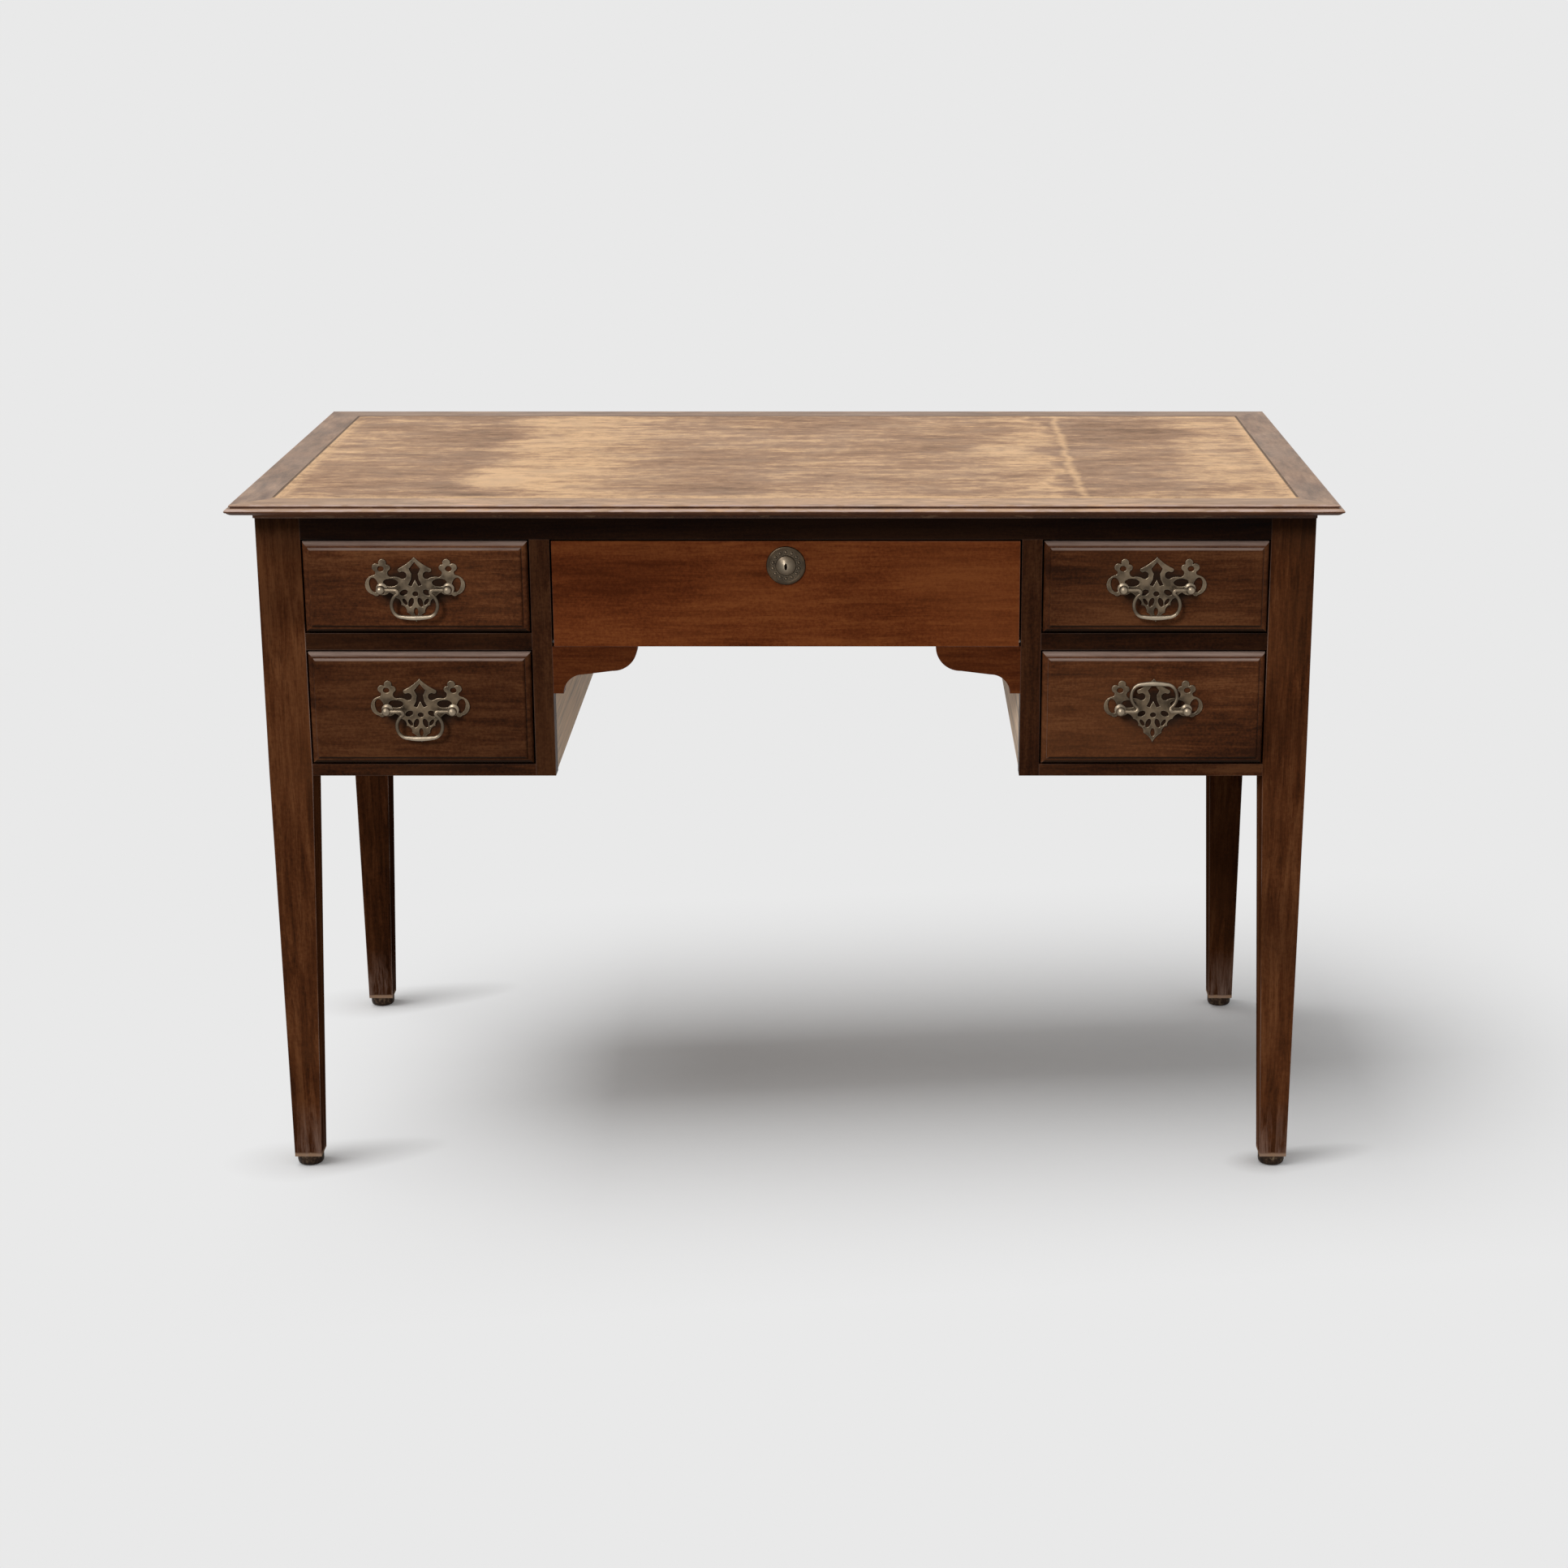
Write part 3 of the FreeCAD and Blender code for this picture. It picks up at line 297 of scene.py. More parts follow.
def polished_wood(name, along, shift, tones, woods, rub=0.8, foot=False, bleached=None, handle=None):
    """Old polished wood with streaky grain along one axis, open pores and rubbed edges.

    Rub is how far its edges are rubbed pale, foot scuffs the wood near the floor and paints shade under
    the top, and bleached is the colour of faces that look up. Handle is the middle of a drawer's handle:
    painted shade with some grime darkens the wood behind it, painted shade darkens the drawer's lower
    moulding, and the upper moulding gets a painted highlight mixed with wear."""
    paint = Paint(name)
    dark, mid, light = tones
    offset = (shift * 1.7, shift * 2.3, shift * 3.1)
    figure = paint.noise(stretched(along, 11.0, 130.0), offset, detail=6.0, roughness=0.72,
                         distortion=0.5)
    bands = paint.noise(stretched(along, 2.2, 21.0), offset, detail=3.0, distortion=0.6)
    fleck_share, fleck_scale = (0.12, 240) if foot else (0.22, 330)
    flecks = paint.noise((fleck_scale,) * 3, offset, roughness=0.6)
    pores = paint.noise(stretched(along, 70.0, 1500.0), offset, detail=1.0)
    cloud = paint.noise((7, 7, 7), offset, detail=3.0)
    grain = paint.times(figure, 0.57 * (1 - fleck_share))
    grain = paint.added(bands, 0.43 * (1 - fleck_share), grain)
    grain = paint.added(flecks, fleck_share, grain)
    paint.colour = paint.ramp(grain, [(0.40, dark), (0.50, mid), (0.60, light)])
    pits = paint.span(pores, 0.40, 0.30)
    paint.coat(paint.times(pits, 0.55), dark)
    paint.coat(paint.span(cloud, 0.46, 0.72, 0.0, 0.40), light)
    paint.coat(paint.span(cloud, 0.50, 0.32, 0.0, 0.40), dark)
    rubbed = paint.times(paint.edges(1.6 * MM, 0.02, 0.16), paint.span(cloud, 0.36, 0.60))
    paint.coat(paint.times(rubbed, rub), woods.worn_and_highlight)
    if foot:
        height = paint.here()["Z"]
        band = paint.span(paint.added(figure, 4 * MM, height), *FOOT_BAND)
        paint.coat(paint.times(band, 0.9), woods.bleached_side)
        # Painted shade under the top's overhang, darkest at the top of the leg
        paint.coat(paint.span(height, *LEG_PAINTED_SHADE, 0.0, 0.6), woods.shade_and_grime)
        scuffed = paint.span(height, *FOOT_SCUFF, 0.0, 0.35)
        paint.coat(paint.times(scuffed, paint.span(figure, 0.45, 0.62)), woods.worn_and_highlight)
    up = paint.node("SeparateXYZ", {0: paint.node("NewGeometry").outputs["Normal"]}).outputs["Z"]
    if bleached:
        chips = paint.noise(stretched(along, 60.0, 220.0), offset, detail=3.0)
        faded = paint.times(paint.span(up, 0.05, 0.45), paint.span(grain, 0.36, 0.56, 0.62, 1.0))
        chipped = paint.times(paint.span(up, -0.85, -0.1), paint.span(chips, 0.60, 0.68, 0.0, 0.3))
        mottle = paint.noise(stretched(along, 14.0, 60.0), offset, detail=6.0, roughness=0.72)
        patchy = paint.ramp(mottle, [(0.36, dimmed([bleached], 0.62)[0]), (0.50, bleached),
                                     (0.64, dimmed([bleached], 1.40)[0])])
        if along == "x":
            aside = paint.sum("ABSOLUTE", paint.here()["X"])
            patchy = paint.mix(paint.span(aside, *BORDER_ENDS, 0.0, 0.6), patchy, woods.bleached_side)
        paint.coat(paint.sum("MAXIMUM", faded, chipped), patchy)
        stain = paint.noise(stretched(along, 12.0, 60.0), offset, detail=4.0, roughness=0.65)
        paint.coat(paint.span(stain, 0.50, 0.72, 0.0, 0.40), mid)
        # Painted highlight, with some wear, on the sloping upper faces of the moulded rim
        rim = paint.times(paint.span(up, 0.10, 0.35), paint.span(up, 0.985, 0.90))
        rim = paint.times(rim, paint.span(chips, 0.40, 0.58, 0.30, 1.0))
        paint.coat(rim, woods.rim)
    if handle:
        # Painted shade, with some grime, in an oval behind the handle's plate and round it
        wide, high = HANDLE_SHADE_AND_GRIME
        here = paint.place((1 / wide, 0, 1 / high), (-handle.x / wide, 0, -handle.z / high))
        away = paint.node("VectorMath", {0: here}, operation="LENGTH").outputs["Value"]
        near = paint.span(paint.added(cloud, 0.3 * MM, away), 1.15 * MM, 0.8 * MM)
        paint.coat(paint.times(near, 0.85), woods.shade_and_grime)
        # Painted highlight, with some wear, on the upward-facing upper moulding
        pale = paint.times(paint.span(up, 0.04, 0.55), paint.span(figure, 0.34, 0.60, 0.5, 0.9))
        paint.coat(pale, woods.worn_and_highlight)
        # Painted shade on the downward-facing lower moulding
        paint.coat(paint.span(up, -0.06, -0.45, 0.0, 0.85), woods.shade_and_grime)
    dull = paint.added(cloud, 0.22, woods.sheen - 0.11)
    paint.bump(paint.added(pits, -0.5, figure), 0.25, 0.25 * MM)
    gloss = 0.20 if bleached else 0.0 if foot else 0.03
    return paint.finish(Base_Color=paint.colour, Roughness=dull, Specular_IOR_Level=gloss)


def bare_wood(name, along, shift, base):
    """Unpolished wood with fine grain and greyed stains."""
    paint = Paint(name)
    offset = (shift * 1.3, shift * 2.9, shift * 0.7)
    figure = paint.noise(stretched(along, 4.0, 120.0), offset, detail=5.0, roughness=0.65,
                         distortion=0.2)
    stain = paint.noise(stretched(along, 3.0, 9.0), offset, detail=3.0)
    dark, light = dimmed([base], 0.55)[0], tuple(min(1.0, c * 1.25) for c in base)
    paint.colour = paint.ramp(figure, [(0.34, dark), (0.50, base), (0.66, light)])
    paint.coat(paint.span(stain, 0.50, 0.72, 0.0, 0.45), dark)
    paint.bump(figure, 0.3, 0.3 * MM)
    dull = paint.span(figure, 0.3, 0.7, 0.65, 0.85)
    return paint.finish(Base_Color=paint.colour, Roughness=dull)


def aged_brass(name, brass, darkening, hollow=None, rubbed=0.0, bar=None):
    """Cast brass, darkened with age and rubbed on its high spots.

    Hollow is a pair of depths from front to back: brass in front of the first is clean, and brass behind
    the second is dark. Rubbed is the share of brightness that hands have brought back all over. Bar is the
    heights of a bail's pins and of its bar, which is brighter than the sides between them."""
    paint = Paint(name)
    fine = paint.noise((420, 420, 420), detail=3.0)
    broad = paint.noise((90, 90, 90))
    high = paint.edges(1.1 * MM, 0.010, 0.10)
    paint.colour = Vector(brass.mid).lerp(Vector(brass.bright), rubbed)
    paint.coat(paint.span(broad, 0.38, 0.66, darkening, 0.0), brass.dark)
    high = paint.times(high, paint.span(fine, 0.3, 0.55, 0.35, 0.95))
    paint.coat(high, brass.bright)
    if hollow:
        depth = paint.here()["Y"]
        paint.coat(paint.span(depth, *hollow, 0.50, 0.0), brass.bright)
        paint.coat(paint.span(depth, *hollow, 0.0, 0.60), brass.dark)
    if bar:
        reach = paint.span(paint.here()["Z"], *bar)
        side = paint.times(paint.span(reach, 0.08, 0.20), paint.span(reach, 0.92, 0.78))
        paint.coat(paint.times(side, 0.55), brass.dark)
        paint.coat(paint.span(reach, 0.88, 0.98, 0.0, 0.40), brass.bright)
    paint.bump(fine, 0.25, 0.12 * MM)
    dull = paint.span(fine, 0.3, 0.7, 0.30, 0.50)
    return paint.finish(Base_Color=paint.colour, Metallic=0.9, Roughness=dull)


# Ink on the hide, and the colour of a dark line along its edge
INK = (0.06, 0.03, 0.014)
EDGE_LINE_DARK = (0.06, 0.034, 0.02)
# Half the width and depth of the ink stain
STAIN_REACH = (17 * MM, 6 * MM)
# Tones across the hide from left to right, each at a share of its width
HIDE_BANDS = [(place, (tone,) * 3) for place, tone in [
    (0.00, 0.50), (0.12, 0.42), (0.17, 0.36), (0.23, 0.76), (0.27, 0.80), (0.36, 0.48), (0.46, 0.42),
    (0.62, 0.44), (0.70, 0.47), (0.77, 0.70), (0.79, 0.34), (0.90, 0.42), (0.95, 0.64), (1.00, 0.58)]]


def worn_hide(name, hide, low, high):
    """Old hide, browned in patches, rubbed to gold in others, with a paler tooled edge."""
    paint = Paint(name)
    here = paint.here()
    x, y = here["X"], here["Y"]
    patches = paint.noise((6.0, 11.0, 1), (0.35, 0.2, 0), detail=4.0, roughness=0.55,
                          distortion=0.5)
    streaks = paint.noise((9, 52, 1), detail=6.0, roughness=0.70, distortion=0.4)
    mottle = paint.noise((64, 92, 1), detail=6.0, roughness=0.78)
    hues = paint.noise((17, 29, 1), (3.1, 1.7, 0), detail=5.0, roughness=0.7)
    grain = paint.node("TexVoronoi", {"Vector": paint.place(), "Scale": 620.0}).outputs["Distance"]
    along = paint.added(paint.less(patches, 0.5), 0.20, x)
    bands = paint.ramp(paint.span(along, low.x, high.x), HIDE_BANDS)
    shade = paint.added(bands, 0.42, paint.span(patches, 0.30, 0.70, 0.0, 0.12))
    shade = paint.sum("ADD", shade, paint.span(streaks, 0.30, 0.70, 0.0, 0.26))
    shade = paint.sum("ADD", shade, paint.span(mottle, 0.32, 0.68, 0.0, 0.18))
    tones = [(0.10, hide.brown), (0.45, hide.tan), (0.80, hide.gold)]
    paint.colour = paint.ramp(paint.span(shade, 0.25, 0.73), tones)
    paint.coat(paint.span(hues, 0.46, 0.70, 0.0, 0.45), hide.grey)
    crease = paint.sum("ABSOLUTE", paint.less(paint.added(hues, 0.03, x),
                                             hide.seam + 0.015))
    rubbed = paint.span(streaks, 0.34, 0.54, 0.45, 1.0)
    pale = paint.times(paint.span(crease, 6.5 * MM, 1.0 * MM), rubbed)
    paint.coat(paint.times(pale, 0.8), hide.gold)
    inward_x = paint.less(high.x, paint.sum("ABSOLUTE", x))
    inward_y = paint.less(high.y, paint.sum("ABSOLUTE", y))
    inward = paint.sum("MINIMUM", inward_x, inward_y)
    edge = paint.times(paint.span(inward, 18 * MM, 6 * MM), paint.span(mottle, 0.34, 0.54))
    paint.coat(paint.times(edge, paint.span(y, 0.20, 0.26, 0.9, 0.1)), hide.gold)
    line = paint.times(paint.span(inward, 3.4 * MM, 2.2 * MM), paint.span(mottle, 0.30, 0.45))
    spot_x = paint.times(paint.less(x, hide.stain[0]), 1 / STAIN_REACH[0])
    spot_y = paint.times(paint.less(y, hide.stain[1]), 1 / STAIN_REACH[1])
    spot = paint.node("VectorMath", {0: paint.node("CombineXYZ", {"X": spot_x, "Y": spot_y})},
                      operation="LENGTH").outputs["Value"]
    inked = paint.times(paint.span(spot, 1.2, 0.5), paint.span(mottle, 0.42, 0.54))
    paint.coat(paint.times(inked, 0.75), INK)
    # A dark line along the hide's edge, fainter along the front edge
    front = paint.span(paint.less(y, low.y), 3 * MM, 9 * MM, 0.25, 0.9)
    paint.coat(paint.times(line, front), EDGE_LINE_DARK)
    paint.bump(paint.added(grain, 0.6, streaks), 0.3, 0.3 * MM)
    dull = paint.span(patches, 0.3, 0.7, 0.70, 0.55)
    return paint.finish(Base_Color=paint.colour, Roughness=dull, Specular_IOR_Level=0.25)


def glide_metal(name, brass):
    """Dark old metal of the foot glides."""
    paint = Paint(name)
    fine = paint.noise((260, 260, 260), detail=4.0)
    dark, mid = (0.014, 0.008, 0.005), (0.036, 0.020, 0.012)
    colour = paint.ramp(fine, [(0.35, dark), (0.55, mid), (0.75, brass.mid)])
    paint.bump(fine, 0.3, 0.2 * MM)
    dull = paint.span(fine, 0.3, 0.7, 0.40, 0.60)
    return paint.finish(Base_Color=colour, Metallic=0.5, Roughness=dull, Specular_IOR_Level=0.15)


def put(name, data):
    """A new object in the scene."""
    made = bpy.data.objects.new(name, data)
    bpy.context.scene.collection.objects.link(made)
    return made


def new_piece(name, mesh, material, body, node):
    """A piece from a mesh in its place, which stands for a CAD node and moves with a body."""
    piece = put(name, mesh)
    mesh.materials.clear()
    mesh.materials.append(material)
    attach(piece, body)
    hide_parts(node)
    return piece


def mesh_of(name, work):
    """The mesh that a bmesh holds."""
    mesh = bpy.data.meshes.new(name)
    work.to_mesh(mesh)
    work.free()
    return mesh


def smooth(mesh, degrees):
    """Shades a mesh smooth, apart from edges sharper than an angle."""
    work = bmesh.new()
    work.from_mesh(mesh)
    for face in work.faces:
        face.smooth = True
    for edge in work.edges:
        edge.smooth = len(edge.link_faces) == 2 and edge.calc_face_angle(0.0) < math.radians(degrees)
    work.to_mesh(mesh)
    work.free()
    return mesh


def curve_mesh(curve):
    """The mesh of a curve."""
    holder = put("holder", curve)
    graph = bpy.context.evaluated_depsgraph_get()
    mesh = bpy.data.meshes.new_from_object(holder.evaluated_get(graph))
    bpy.data.objects.remove(holder)
    bpy.data.curves.remove(curve)
    return mesh


def set_down(mesh, place, turn):
    """Turns a mesh made in millimetres and puts it in its place."""
    mesh.transform(Matrix.Translation(place) @ turn @ Matrix.Scale(MM, 4))
    return mesh


def turned(name, profile, axis_to, place, sides=48):
    """A turned solid: radii and distances in millimetres, spun about an axis and put in its place."""
    work = bmesh.new()
    rings = []
    for radius, along in profile:
        turns = [2 * math.pi * k / sides for k in range(sides if radius else 1)]
        rings.append([work.verts.new((radius * math.cos(t), radius * math.sin(t), along)) for t in turns])
    for lower, upper in zip(rings, rings[1:]):
        for k in range(sides):
            n = (k + 1) % sides
            if len(lower) == 1:
                corners = (lower[0], upper[n], upper[k])
            elif len(upper) == 1:
                corners = (lower[k], lower[n], upper[0])
            else:
                corners = (lower[k], lower[n], upper[n], upper[k])
            work.faces.new(corners)
    bmesh.ops.recalc_face_normals(work, faces=work.faces)
    return set_down(mesh_of(name, work), place, axis_to)


def pierced(mesh, cutter):
    """A mesh with the shape of a cutter taken out of it."""
    blank, tool = put("blank", mesh), put("tool", cutter)
    cut = blank.modifiers.new("slot", "BOOLEAN")
    cut.object = tool
    cut.use_self = True
    result = bpy.data.meshes.new_from_object(blank.evaluated_get(bpy.context.evaluated_depsgraph_get()))
    for holder in (blank, tool):
        bpy.data.objects.remove(holder)
    return result


def merged(name, meshes):
    """One mesh from several."""
    work = bmesh.new()
    for mesh in meshes:
        work.from_mesh(mesh)
        bpy.data.meshes.remove(mesh)
    return mesh_of(name, work)


# Right half of a handle's plate in millimetres from the middle of the line between the posts: the end of
# each arc, and a point that it passes, from the peak round the wing to the lower tip.
PLATE_TOP = (0.0, 34.0)
PLATE_ARCS = [
    ((8.0, 27.0), (17.2, 21.6)), ((17.6, 18.6), (14.0, 17.8)), ((8.8, 13.8), (14.2, 10.6)),
    ((19.0, 12.6), (24.5, 12.4)), ((28.4, 14.6), (28.0, 19.0)), ((25.8, 23.4), (30.2, 25.8)),
    ((34.0, 32.0), (37.8, 25.8)), ((44.8, 24.6), (42.2, 18.6)), ((41.8, 16.6), (44.0, 14.4)),
    ((53.2, 4.6), (44.6, -7.0)), ((40.8, -8.4), (38.4, -6.6)), ((33.5, -7.4), (27.5, -4.6)),
    ((24.6, -6.0), (21.0, -10.5)), ((17.2, -12.4), (15.6, -18.0)), ((12.0, -19.8), (9.8, -26.0)),
    ((6.0, -28.6), (0.0, -36.5)),
]
# Piercings on the middle line and on the right half
ARROW_SLOT = [(0, 28.4), (6.0, 21.0), (3.2, 15.6), (4.0, 9.5), (7.2, 3.6), (3.6, 2.4), (0, 9.4)]
MIDDLE_HOLES = [((0, -6.0), (3.0, 2.6), 0), ((0, -25.4), (2.2, 4.4), 0)]
SIDE_HOLES = [
    ((36.0, 21.2), (3.4, 2.8), 0), ((26.0, 6.2), (7.8, 4.1), 2), ((43.8, 3.8), (4.6, 8.0), -12),
    ((12.4, -4.6), (4.4, 2.8), -24), ((5.0, -15.2), (2.6, 5.0), 20), ((11.4, -14.6), (1.8, 4.0), -34),
]
POST_SPACING = 71.0


def arc_points(start, passed, end, steps):
    """Points along the arc from start, through a passed point, to end; start is left out."""
    a, b, c = Vector(start), Vector(passed), Vector(end)
    turn = 2 * ((b.x - a.x) * (c.y - a.y) - (b.y - a.y) * (c.x - a.x))
    ab, ac = b.length_squared - a.length_squared, c.length_squared - a.length_squared
    centre = Vector((((c.y - a.y) * ab - (b.y - a.y) * ac) / turn,
                     ((b.x - a.x) * ac - (c.x - a.x) * ab) / turn))
    first = math.atan2(a.y - centre.y, a.x - centre.x)
    swing = (math.atan2(c.y - centre.y, c.x - centre.x) - first) % (2 * math.pi)
    middle = (math.atan2(b.y - centre.y, b.x - centre.x) - first) % (2 * math.pi)
    if middle > swing:
        swing -= 2 * math.pi
    radius = (a - centre).length
    return [(centre.x + radius * math.cos(first + swing * k / steps),
             centre.y + radius * math.sin(first + swing * k / steps)) for k in range(1, steps + 1)]


def plate_loops():
    """The outline and the piercings of a handle's plate."""
    right = [PLATE_TOP]
    for passed, end in PLATE_ARCS:
        right += arc_points(right[-1], passed, end, 10)
    loops = [right + [(-x, y) for x, y in reversed(right[1:-1])]]
    loops.append(ARROW_SLOT + [(-x, y) for x, y in reversed(ARROW_SLOT[1:-1])])
    loops += [oval(*hole) for hole in MIDDLE_HOLES]
    for (x, y), radii, lean in SIDE_HOLES:
        loops += [oval((x, y), radii, lean), oval((-x, y), radii, -lean)]
    return loops


def oval(centre, radii, lean, steps=18):
    """Points round a leaning oval."""
    c, s = math.cos(math.radians(lean)), math.sin(math.radians(lean))
    points = []
    for k in range(steps):
        u = radii[0] * math.cos(2 * math.pi * k / steps)
        v = radii[1] * math.sin(2 * math.pi * k / steps)
        points.append((centre[0] + u * c - v * s, centre[1] + u * s + v * c))
    return points


def fretted(name, loops, thickness, bevel):
    """A pierced plate with rounded edges, in millimetres, lying flat with its back at zero."""
    curve = bpy.data.curves.new(name, "CURVE")
    curve.dimensions = "2D"
    curve.fill_mode = "BOTH"
    for loop in loops:
        spline = curve.splines.new("POLY")
        spline.points.add(len(loop) - 1)
        for point, (x, y) in zip(spline.points, loop):
            point.co = (x, y, 0, 1)
        spline.use_cyclic_u = True
    curve.extrude = thickness / 2 - bevel
    curve.bevel_depth = bevel
    curve.bevel_resolution = 2
    curve.offset = -bevel
    mesh = curve_mesh(curve)
    mesh.transform(Matrix.Translation((0, 0, thickness / 2)))
    return mesh


UPRIGHT = Matrix.Rotation(math.pi / 2, 4, "X")
HANDLE_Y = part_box("upper_left_handle_posts")[0].y + 5 * MM


def handle_centre(corner):
    """Middle of the line between a handle's posts."""
    low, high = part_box(f"{corner}_handle_posts")
    return Vector(((low.x + high.x) / 2, HANDLE_Y, (low.z + high.z) / 2))


# Half a bail: from inside its post, in along the pin, then out, down and round to the middle of the bar
BAIL_START = (38.0, 0.0)
BAIL_ARCS = [((20.0, 0.0), (17.6, -2.2), (19.2, -5.2)), ((19.2, -5.2), (24.4, -15.0), (22.6, -23.4)),
             ((22.6, -23.4), (18.6, -27.6), (12.5, -29.2)), ((12.5, -29.2), (6.2, -29.9), (0.0, -30.0))]
PIN_STEPS = 12
# How far a bail hangs, how far its pins stand off the plate, and the gap left when it is tipped up
BAIL_DROP, PIN_STANDOFF, TIPPED_GAP = 30.0, 9.0, 0.3
TIPPED_LEAN = math.pi - math.asin((PIN_STANDOFF - BAR_RADIUS - TIPPED_GAP) / BAIL_DROP)
# The bar's drop for its brighter brass, its half length and upper limit, and the knuckle beside each pin
BAR_DROP = 29 * MM
BAR_HALF, BAR_TOP = 17.0, -28.0
KNUCKLE, KNUCKLE_REACH, KNUCKLE_SWELL = Vector((17.5, -0.6)), 2.2, 0.5


def bail_line():
    """Points of half a hanging bail's centre line in millimetres, from its post to the middle of its bar."""
    start, end = Vector(BAIL_START), Vector(BAIL_ARCS[0][0])
    line = [start.lerp(end, k / PIN_STEPS) for k in range(PIN_STEPS + 1)]
    for arc in BAIL_ARCS:
        line += [Vector(p) for p in arc_points(*arc, 10)]
    return line


class DESK_OT_carcase(bpy.types.Operator):
    """Polishes the legs, rails, panels, brackets and the top's border"""
    bl_idname = "desk.carcase"
    bl_label = "Carcase"

    def execute(self, context):
        woods = context.scene.desk_woods
        tones, faded = wood_tones(woods)

        def polished(name, along, shift, by=1.0, base=tones, **more):
            return polished_wood(name, along, shift, dimmed(base, by), woods, **more)

        legs = {"front": polished("polished_leg", "z", 0.3, foot=True),
                # The back legs' wood is darkened as painted shade
                "back": polished("back_leg", "z", 6.3, woods.back_leg_painted_shade, foot=True)}
        frame_woods = {
            "kneehole_stiles": polished("polished_stile", "z", 7.7, woods.stile_share, rub=0.2),
            # The top rail's wood is darkened as painted shade
            "front_top_rail": polished("top_rail_wood", "x", 1.1, woods.top_rail_painted_shade, rub=0.1),
            "mid_rails": polished("mid_rail_wood", "x", 8.3, woods.mid_rail_share, rub=0.2),
            "bottom_rails": polished("bottom_rail_wood", "x", 9.7, woods.bottom_rail_share, rub=0.2),
        }
        across = polished("polished_back", "x", 1.1)
        deep = polished("polished_end", "y", 2.2)
        borders = {"front": polished("border_front", "x", 3.1, bleached=woods.bleached_front),
                   "back": polished("border_back", "x", 3.7, bleached=woods.bleached_side)}
        border_deep = polished("border_deep", "y", 2.9, bleached=woods.bleached_side)
        bracket = polished("faded_bracket", "x", 4.1, woods.bracket_share, faded, rub=0.1)
        raw = bare_wood("bare_panel", "y", 0.4, woods.raw)
        lining = bare_wood("lining_deep", "y", 1.4, woods.lining)
        for depth in ("front", "back"):
            for side in SIDES:
                wear(f"{depth}_{side}_leg", legs[depth])
            wear(f"top_border_{depth}", borders[depth])
        for side in SIDES:
            wear(f"top_border_{side}", border_deep)
            wear(f"{side}_end_panel", deep)
            wear(f"{side}_kneehole_panel", raw)
            wear(f"{side}_corner_bracket", bracket)
        for node, wood in frame_woods.items():
            wear(node, wood)
        for node in ("bank_back_panels", "back_rail"):
            wear(node, across)
        for node in ("bottom_boards", "drawer_runners", "top_panel"):
            wear(node, lining)
        return {"FINISHED"}


# A glide's greatest radius, and its dome as radii and heights, in millimetres
GLIDE_RADIUS = 14.8
GLIDE_DOME = [(0.0, 0.0), (11.2, 0.0), (13.0, 0.7), (14.2, 2.2), (14.7, 4.6)]


class DESK_OT_glides(bpy.types.Operator):
    """Makes the domed metal glides under the feet"""
    bl_idname = "desk.glides"
    bl_label = "Foot glides"

    def execute(self, context):
        low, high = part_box("foot_glides")
        rise = (high.z - low.z) / MM
        wide = GLIDE_DOME + [(GLIDE_RADIUS, rise - 1.2), (14.4, rise), (0.0, rise)]
        radius = GLIDE_RADIUS * MM
        meshes = []
        for x in (low.x + radius, high.x - radius):
            for y in (low.y + radius, high.y - radius):
                meshes.append(turned("glide_turning", wide, Matrix.Identity(4), Vector((x, y, low.z))))
        metal = glide_metal("dark_glide", context.scene.desk_brass)
        mesh = smooth(merged("glides_mesh", meshes), 40)
        new_piece("glides", mesh, metal, "carcase", "foot_glides")
        return {"FINISHED"}


class DESK_OT_drawers(bpy.types.Operator):
    """Finishes the drawer fronts and boxes and the lock"""
    bl_idname = "desk.drawers"
    bl_label = "Drawers"

    def execute(self, context):
        woods = context.scene.desk_woods
        tones, faded = wood_tones(woods)
        lining = bare_wood("lining_sides", "y", 3.3, woods.lining)
        across = bare_wood("lining_across", "x", 5.2, woods.lining)
        for number, corner in enumerate(CORNERS):
            front = polished_wood(f"front_{corner}", "x", 5.0 + 1.9 * number,
                                  dimmed(tones, woods.front_shares[number]), woods,
                                  rub=0.35, handle=handle_centre(corner))
            wear(f"{corner}_drawer_front", front)
        wear("middle_drawer_front", polished_wood("faded_front", "x", 17.0, faded, woods, rub=0.2))
        for name in [f"{corner}_drawer" for corner in CORNERS] + ["middle_drawer"]:
            wear(name + "_sides", lining)
            wear(name + "_back", across)
            wear(name + "_bottom", lining)
        steel = aged_brass("lock_metal", context.scene.desk_brass, 0.7)
        wear("lock_case", steel)
        wear("lock_bolt", steel)
        return {"FINISHED"}


class DESK_OT_plates(bpy.types.Operator):
    """Makes the pierced plates behind the handles"""
    bl_idname = "desk.plates"
    bl_label = "Handle plates"

    def execute(self, context):
        brass = context.scene.desk_brass
        for corner, rubbed in zip(CORNERS, brass.plate_shares):
            metal = aged_brass(f"plate_brass_{corner}", brass, 0.75, rubbed=rubbed)
            node = f"{corner}_handle_plate"
            low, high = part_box(node)
            middle = handle_centre(corner)
            mesh = fretted(node + "_mesh", plate_loops(), (high.y - low.y) / MM, brass.plate_bevel / MM)
            set_down(mesh, (middle.x, high.y, middle.z), UPRIGHT)
            new_piece(f"{corner}_plate", smooth(mesh, 40), metal, f"drawer_{corner}", node)
        return {"FINISHED"}


